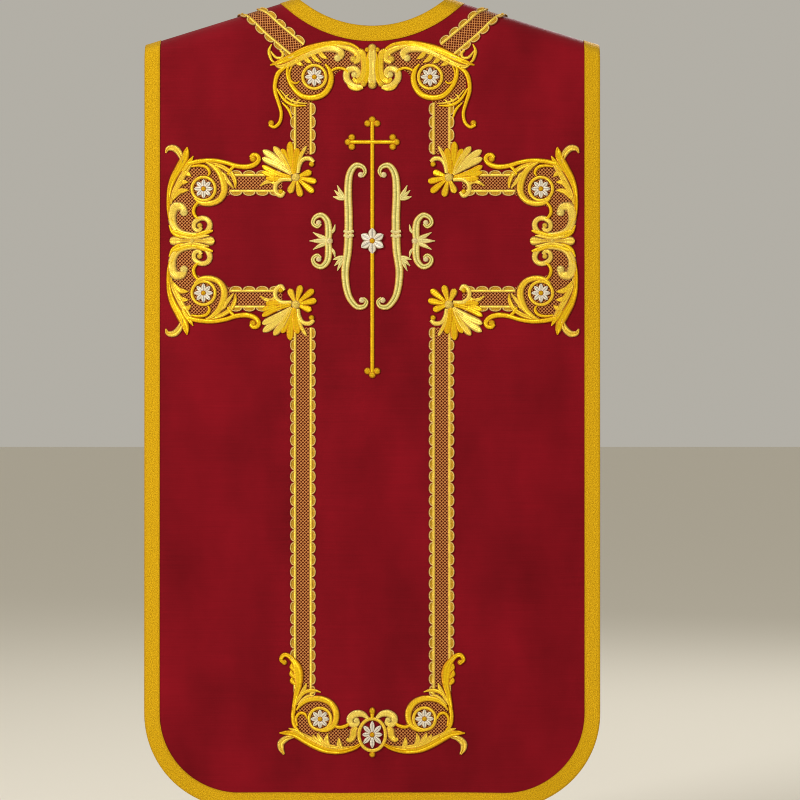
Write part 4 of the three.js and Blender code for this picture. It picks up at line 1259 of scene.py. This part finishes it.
def neck_clasp(work):
    """An upright drop with a bud above and below, between pairs of leaves that curl outwards."""
    for way in (-1, 1):
        sew(work, (way * 25, 14, 1.4), (way * 20, 20, 4), (way * 14, 18, 4.8), (way * 11.5, 7, 4.8),
            (way * 11.5, -6, 4.8), (way * 15, -17, 5), (way * 22, -21, 4.4), (way * 27, -17, 2),
            tone=0.55, crown=2.3, vein=0.35)
        sew(work, (way * 4, 19, 2.4), (way * 6, 8, 3.6), (way * 6, -4, 3.6), (way * 7.5, -16, 4),
            (way * 12, -25, 3.4), tone=0.5, crown=2.6, vein=0.3)
        knob(work, way * 12.5, -24.5, 5.2, tone=0.55, height=2.8)
        knob(work, way * 7, 23, 4.2, tone=0.5)
    sew(work, (0, 25, 3.8), (0, 15, 5.6), (0, 4, 5), (0, -8, 4.6), (0, -18, 6), (0, -27, 4),
        tone=0.78, crown=3.3, vein=0.5)
    knob(work, 0, 25.5, 6.2, tone=0.66, height=3.3)
    knob(work, 0, -26, 6.2, tone=0.66, height=3.3)


# %% The corner at the foot, and the cartouche
def foot_corner(work):
    """An upright leaf that rolls over at its tip, and a leaf that runs to the cartouche."""
    ring(work, 15.4)
    sew(work, (-33, 12, 1.2), (-27, 20, 2.8), (-17, 26.5, 3.6), (-2, 28.5, 4.1), (12, 24, 4.3),
        (20.5, 14, 4.5), (22.5, 2, 4.2), (18.5, -9, 3.8), (9, -15.5, 2.8), (0, -17, 1.2), tone=0.52,
        crown=2.4)
    sew(work, (-32, -10, 1.4), (-33.5, 1, 2), (-28, 8, 2.3), (-21, 6.5, 2.2), (-18, 0, 1.2),
        tone=0.42)
    sew(work, (18, -8, 1.6), (27, -11.5, 2.5), (36, -9.5, 2.5), (42, -5, 2.2), tone=0.45)
    sew(work, (-49, 77, 2.2), (-54.5, 82.5, 2.8), (-51, 89, 3), (-44, 88, 3.2), (-37, 81, 4),
        (-32.5, 73, 5.8), (-30.5, 62, 6.8), (-30, 49, 5), (-33, 35, 3.8), (-36, 20, 3),
        (-37, 8, 2.6), tone=0.48, crown=2.6, vein=0.45)
    knob(work, -50, 79, 4.2, tone=0.35)
    for root, tip in (((-35, 66), (-39.5, 78)), ((-35, 57), (-40.5, 68)), ((-34.5, 48), (-39.5, 58))):
        sew(work, (*root, 2), ((root[0] + tip[0]) / 2 - 2, (root[1] + tip[1]) / 2, 3.4),
            (*tip, 0.8), tone=0.4)
    sew(work, (-19, 50, 0.7), (-22, 42, 3), (-28, 31, 2.8), (-34, 20, 1.4), tone=0.58, vein=0.3)
    sew(work, (1, 37.5, 0.7), (-9, 40, 2.4), (-21, 37.5, 2.8), (-30, 29, 2.6), (-36, 16, 1.6),
        tone=0.55)
    sew(work, (-7, 31.5, 0.7), (-15, 32.5, 2), (-24, 27, 2.2), (-31, 19, 1.4), tone=0.62)
    sew(work, (-14, 32, 1), (-12, 35.5, 2), (-6, 39, 1), tone=0.62)
    sew(work, (-36.5, 18, 2.6), (-38, 4, 2.8), (-36, -9, 2.8), (-29, -19, 2), tone=0.46)
    sew(work, (-22, -25, 2.2), (-33, -17.5, 3.4), (-44, -13.5, 0.8), tone=0.55)
    sew(work, (-57, -20, 0.8), (-46, -20, 3.6), (-34, -22.5, 4.6), (-20, -30.5, 4.8),
        (-5, -38.5, 4.6), (9, -43.5, 4.2), (28, -45, 3.6), (46, -41, 3), (57, -35, 2.2), tone=0.46,
        crown=2.4, vein=0.75)
    sew(work, (-37, -25, 1.8), (-47, -27.5, 3.6), (-54.5, -34, 4.2), (-54.5, -42, 3.6),
        (-50.5, -50, 1.4), tone=0.66, vein=0.85)
    sew(work, (-28, -19, 1.4), (-12, -28, 3), (4, -35.5, 3.2), (19, -39, 2.8), (34, -40, 2),
        (50, -38, 1.2), tone=0.6, vein=0.5)
    for root, bulge, tip in (((2, -36), (-6, -29), (-10, -22)), ((9, -39), (0, -28), (-3.5, -19.5)),
                             ((14, -40), (9, -30), (11, -20)), ((30, -42), (27, -35), (26.5, -26))):
        sew(work, (*root, 2), (*bulge, 3.8), (*tip, 0.8), tone=0.62, vein=0.5)


def cartouche(work):
    """An oval frame with a bud above and below, and a pair of scrolls and drops."""
    ring(work, 18.6, 2.4, stretch=1.2, tone=0.6)
    knob(work, 0, 33, 4.6, stretch=1.25, tone=0.45, height=2.8)
    sew(work, (0, 31, 3), (0, 27, 2.6), (0, 23, 2.4), tone=0.5)
    knob(work, 0, -27.5, 4.6, tone=0.4)
    for way in (-1, 1):
        sew(work, (way * 6, 23, 2), (way * 13, 28.5, 3.6), (way * 22, 29.5, 4.4),
            (way * 30, 24.5, 4.4), (way * 30.5, 17, 4), (way * 25, 13.5, 3.4), (way * 20, 17, 2.8),
            (way * 22.5, 21, 2.4), tone=0.8, crown=2.4, vein=0.25)
        knob(work, way * 22, 20, 4.2, tone=0.95, height=2.8)
        sew(work, (way * 22, 11, 3), (way * 25.5, 6, 4.8), (way * 27, -2, 4.6), (way * 31.5, -7, 4),
            (way * 36, -6, 2.2), tone=0.6, crown=2.3, vein=0.3)


# %% Sew every motif in its place
def sew_motif(name, draw, body, at, side=1, rise=1, thread=gold_satin,
              base=0.4, plump=1.2):
    """Draw a motif at a place; plump widens every stroke of it."""
    work = Stitches(PLACES[body], base, at, side, rise)
    work.plump = plump
    draw(work)
    finish_piece(work.make(name, thread), name, body)
    return work.count


LEAF_X, LEAF_RISE = -BAND_X - 10, 89
ARM_CLASP_X = -252
NECK_CLASP_DROP = 57  # below the neckline
CARTOUCHE_RISE = 103  # above the hem
points = 0
for side, word in SIDES:
    points += sew_motif(f"neck_corner_scroll_{word}", neck_corner, "back", NECK_FLOWER, side)
    points += sew_motif(f"foot_corner_scroll_{word}", foot_corner, "back", FOOT_FLOWER, side)
    points += sew_motif(f"front_corner_scroll_{word}", foot_corner, "front", FRONT_FLOWER, side)
    for rise, row in ROWS:
        arm = (ARM_FLOWER_X, CROSS_Z + rise * ARM_FLOWER_RISE)
        points += sew_motif(f"{row}_arm_scroll_{word}", arm_corner, "back", arm, side, rise)
        leaf = (LEAF_X, CROSS_Z + rise * LEAF_RISE)
        points += sew_motif(f"{row}_leaf_{word}", palmette, "back", leaf, side, rise, base=0.5)
    points += sew_motif(f"arm_clasp_{word}", clasp, "back", (ARM_CLASP_X, CROSS_Z), side, base=0.6)
for name, draw, body, height in (
        ("neck_clasp", neck_clasp, "back", NECK_BOTTOM - NECK_CLASP_DROP),
        ("foot_cartouche", cartouche, "back", BACK_HEM + CARTOUCHE_RISE),
        ("front_cartouche", cartouche, "front", FRONT_HEM + CARTOUCHE_RISE)):
    points += sew_motif(name, draw, body, (0, height), base=0.6)
print(points, "points in the scrolls")

# %% [markdown]
# ## Flowers
# Each flower is silver-white: pointed petals in satin stitch round a gold eye. The petals repeat,
# so the same tree lays them.


# %% Flowers
def petal_shape(name, start, length, half):
    """A pointed petal that starts a little way out from the middle."""
    work = Stitches(flat_place, base=0)
    sew(work, (0, start, half * 0.35), (0, start + length * 0.3, half * 0.85),
        (0, start + length * 0.6, half), (0, start + length * 0.85, half * 0.6),
        (0, start + length, 0.2), tone=0.5, crown=1.9, vein=0.45)
    return shape_of(work, name, silver_satin)


def flower(name, shape, body, at, petals=8, stretch=1.0, eye=4.0, lift=0.5):
    """Petals round an eye; stretch makes the upright ones longer, for an oval frame."""
    place, guides = PLACES[body], []
    for t in np.arange(petals) * 2 * np.pi / petals + np.pi / 2:
        size = (1, 1 + (stretch - 1) * abs(math.sin(t)), 1)
        guides.append(guide_at(place, at, (math.cos(t), math.sin(t)), size, lift))
    finish_piece(lay_row(f"{name}_petals", shape, guides, silver_satin), name, body)
    work = Stitches(place, lift, at)
    knob(work, 0, 0, eye, height=2.9, tone=0.3)
    finish_piece(work.make(f"{name}_eye", gold_satin), name, body)


ring_petal = petal_shape("ring_petal", 2.0, 11.4, 3.5)
oval_petal = petal_shape("oval_petal", 2.4, 11.8, 3.7)
centre_petal = petal_shape("centre_petal", 2.6, 15.4, 5.8)
for side, word in SIDES:
    for name, body, (x, z) in (("neck_flower", "back", NECK_FLOWER),
                               ("foot_flower", "back", FOOT_FLOWER),
                               ("front_flower", "front", FRONT_FLOWER)):
        flower(f"{name}_{word}", ring_petal, body, (side * x, z))
    for rise, row in ROWS:
        at = (side * ARM_FLOWER_X, CROSS_Z + rise * ARM_FLOWER_RISE)
        flower(f"{row}_arm_flower_{word}", ring_petal, "back", at)
flower("cartouche_flower", oval_petal, "back", (0, BACK_HEM + CARTOUCHE_RISE), stretch=1.35)
flower("front_cartouche_flower", oval_petal, "front", (0, FRONT_HEM + CARTOUCHE_RISE), stretch=1.35)
flower("centre_flower", centre_petal, "back", (0, CROSS_Z), petals=6, eye=4.4, lift=2.0)

# %% [markdown]
# ## The staff and its ornament
# A slender cross on a staff stands in the middle of the back, between two pairs of pale scrolls.

# %% The staff
STAFF_TOP, STAFF_FOOT = -142.5, -510
CROSSBAR_Z, CROSSBAR_REACH = -179, 39
LOBE = 5.2  # radius of each lobe of the trefoils


def staff(work):
    """A tall cross with a trefoil at each end."""
    half = 3.2
    sew(work, (0, STAFF_TOP - 8, half), (0, -300, half), (0, STAFF_FOOT + 8, half), tone=0.4,
        crown=2)
    sew(work, (-CROSSBAR_REACH + 8, CROSSBAR_Z, half), (0, CROSSBAR_Z, half),
        (CROSSBAR_REACH - 8, CROSSBAR_Z, half), tone=0.4, crown=2.1)
    for x, z, dx, dz in ((0, STAFF_TOP, 0, 1), (0, STAFF_FOOT, 0, -1),
                         (-CROSSBAR_REACH, CROSSBAR_Z, -1, 0), (CROSSBAR_REACH, CROSSBAR_Z, 1, 0)):
        root = (x - dx * 2 * LOBE, z - dz * 2 * LOBE)
        knob(work, root[0] + dx * LOBE, root[1] + dz * LOBE, LOBE, tone=0.4, height=2.6)
        for way in (-1, 1):
            knob(work, root[0] + way * dz * LOBE * 1.25, root[1] + way * dx * LOBE * 1.25, LOBE,
                 tone=0.4, height=2.6)


# %% Pale scrolls beside the staff
def tall_scroll(work):
    """A tall stem that rolls in at both ends, with leaves on its outer side."""
    sew(work, (-14, 90, 2.6), (-10, 97, 3), (-14, 104, 3.6), (-24, 105, 4.6), (-32, 92, 5.4),
        (-34, 66, 6), (-33, 30, 6.2), (-34, -10, 6.2), (-38, -44, 5.8), (-34, -74, 5.2),
        (-23, -91, 4.4), (-12, -92, 3.6), (-8, -85, 3), (-13, -80, 2.6), tone=0.55, crown=2.8,
        vein=0.6, sections=13)
    knob(work, -16, 92.5, 4.2, tone=0.9, height=2.8)
    knob(work, -14.5, -83, 4.2, tone=0.9, height=2.8)
    for z, rise in ((58, 1), (-22, -1)):
        for length, lift in ((17, 4), (15, 13), (11, 20)):
            sew(work, (-36, z, 1.6), (-38 - length * 0.5, z + rise * lift * 0.45, 3.2),
                (-38 - length, z + rise * lift, 0.6), tone=0.62, vein=0.3)
    for z in (14, 8):
        sew(work, (-40, z, 2), (-33, z - 2, 3), (-26, z, 2), tone=0.75, crown=3.4)


def side_scroll(work):
    """A short scroll rolled up at both ends, with a spray of leaves between them."""
    for rise in (-1, 1):
        sew(work, (-62, 0, 5), (-61, rise * 14, 5.6), (-63, rise * 28, 5), (-71, rise * 36, 4.2),
            (-80, rise * 33, 3.6), (-83, rise * 25, 3.2), (-77, rise * 20, 3),
            (-72, rise * 24, 2.4), tone=0.55, crown=2.8, vein=0.5, sections=13)
        knob(work, -75, rise * 25.5, 4, tone=0.9, height=2.8)
        sew(work, (-63, rise * 3, 2.4), (-72, rise * 6, 3.4), (-83, rise * 12, 0.6), tone=0.62,
            vein=0.3)
        sew(work, (-59, rise * 10, 2), (-54, rise * 15, 2.4), (-52, rise * 23, 0.6), tone=0.62,
            vein=0.3)
    sew(work, (-62, 0, 2.6), (-74, 0, 3.8), (-88, 0, 0.6), tone=0.7, crown=2.6, vein=0.3)
    knob(work, -60, 0, 5, tone=0.8, height=3.6)


# %% Sew the staff and its scrolls
points = sew_motif("staff_cross", staff, "back", (0, 0), base=0.05, plump=1.0)
for side, word in SIDES:
    for name, draw in (("tall_scroll", tall_scroll), ("side_scroll", side_scroll)):
        points += sew_motif(f"{name}_{word}", draw, "back", (0, CROSS_Z), side,
                            thread=pale_satin, plump=1.0)
for shape in (scallop, ring_petal, oval_petal, centre_petal):
    bpy.data.objects.remove(shape)
print(points, "points in the staff and its scrolls")

# %% [markdown]
# ## Light and floor
# Plain soft studio light: a large lamp on the left of the embroidered side, a weaker one on its
# right, a third behind it, and a pale floor and sky that fill the shadows.

# %% Studio
floor_mesh = bpy.data.meshes.new("studio_floor")
reach = 40
floor_z = (BACK_HEM - 120) * MM
floor_mesh.from_pydata(
    [(-reach, -reach, floor_z), (reach, -reach, floor_z), (reach, reach, floor_z),
     (-reach, reach, floor_z)],
    [], [(0, 1, 2, 3)])
floor = bpy.data.objects.new("studio_floor", floor_mesh)
bpy.context.scene.collection.objects.link(floor)
floor_paint = bpy.data.materials.new("matt_floor_paint_rolled")
floor_paint.use_nodes = True
floor_paint.node_tree.nodes["Principled BSDF"].inputs["Base Color"].default_value = rgb("#ece6d8")
floor_paint.node_tree.nodes["Principled BSDF"].inputs["Roughness"].default_value = 0.9
floor_mesh.materials.append(floor_paint)

world = bpy.data.worlds.new("studio_sky")
world.use_nodes = True
world.node_tree.nodes["Background"].inputs["Color"].default_value = rgb("#f3eee2")
world.node_tree.nodes["Background"].inputs["Strength"].default_value = 0.5
bpy.context.scene.world = world
bpy.context.scene.view_settings.view_transform = "Standard"
bpy.context.scene.cycles.filter_width = 1.0  # a crisp picture, so that fine patterns show
bpy.context.scene.cycles.denoising_prefilter = "NONE"  # keeps the net sharp


def lamp(name, place, power, size):
    """A large soft lamp that faces the middle of the garment."""
    light = bpy.data.lights.new(name, "AREA")
    light.energy, light.size = power, size
    holder = bpy.data.objects.new(name, light)
    holder.location = place
    aim = Vector((0, 0, CROSS_Z * 1.6 * MM)) - holder.location
    holder.rotation_euler = aim.to_track_quat("-Z", "Y").to_euler()
    bpy.context.scene.collection.objects.link(holder)


lamp("key_lamp", (-2.3, -2.3, 1.2), 110, 0.9)
lamp("fill_lamp", (2.4, -2.6, 0.0), 22, 2.0)
lamp("rear_lamp", (1.4, 3.0, 1.8), 42, 1.6)
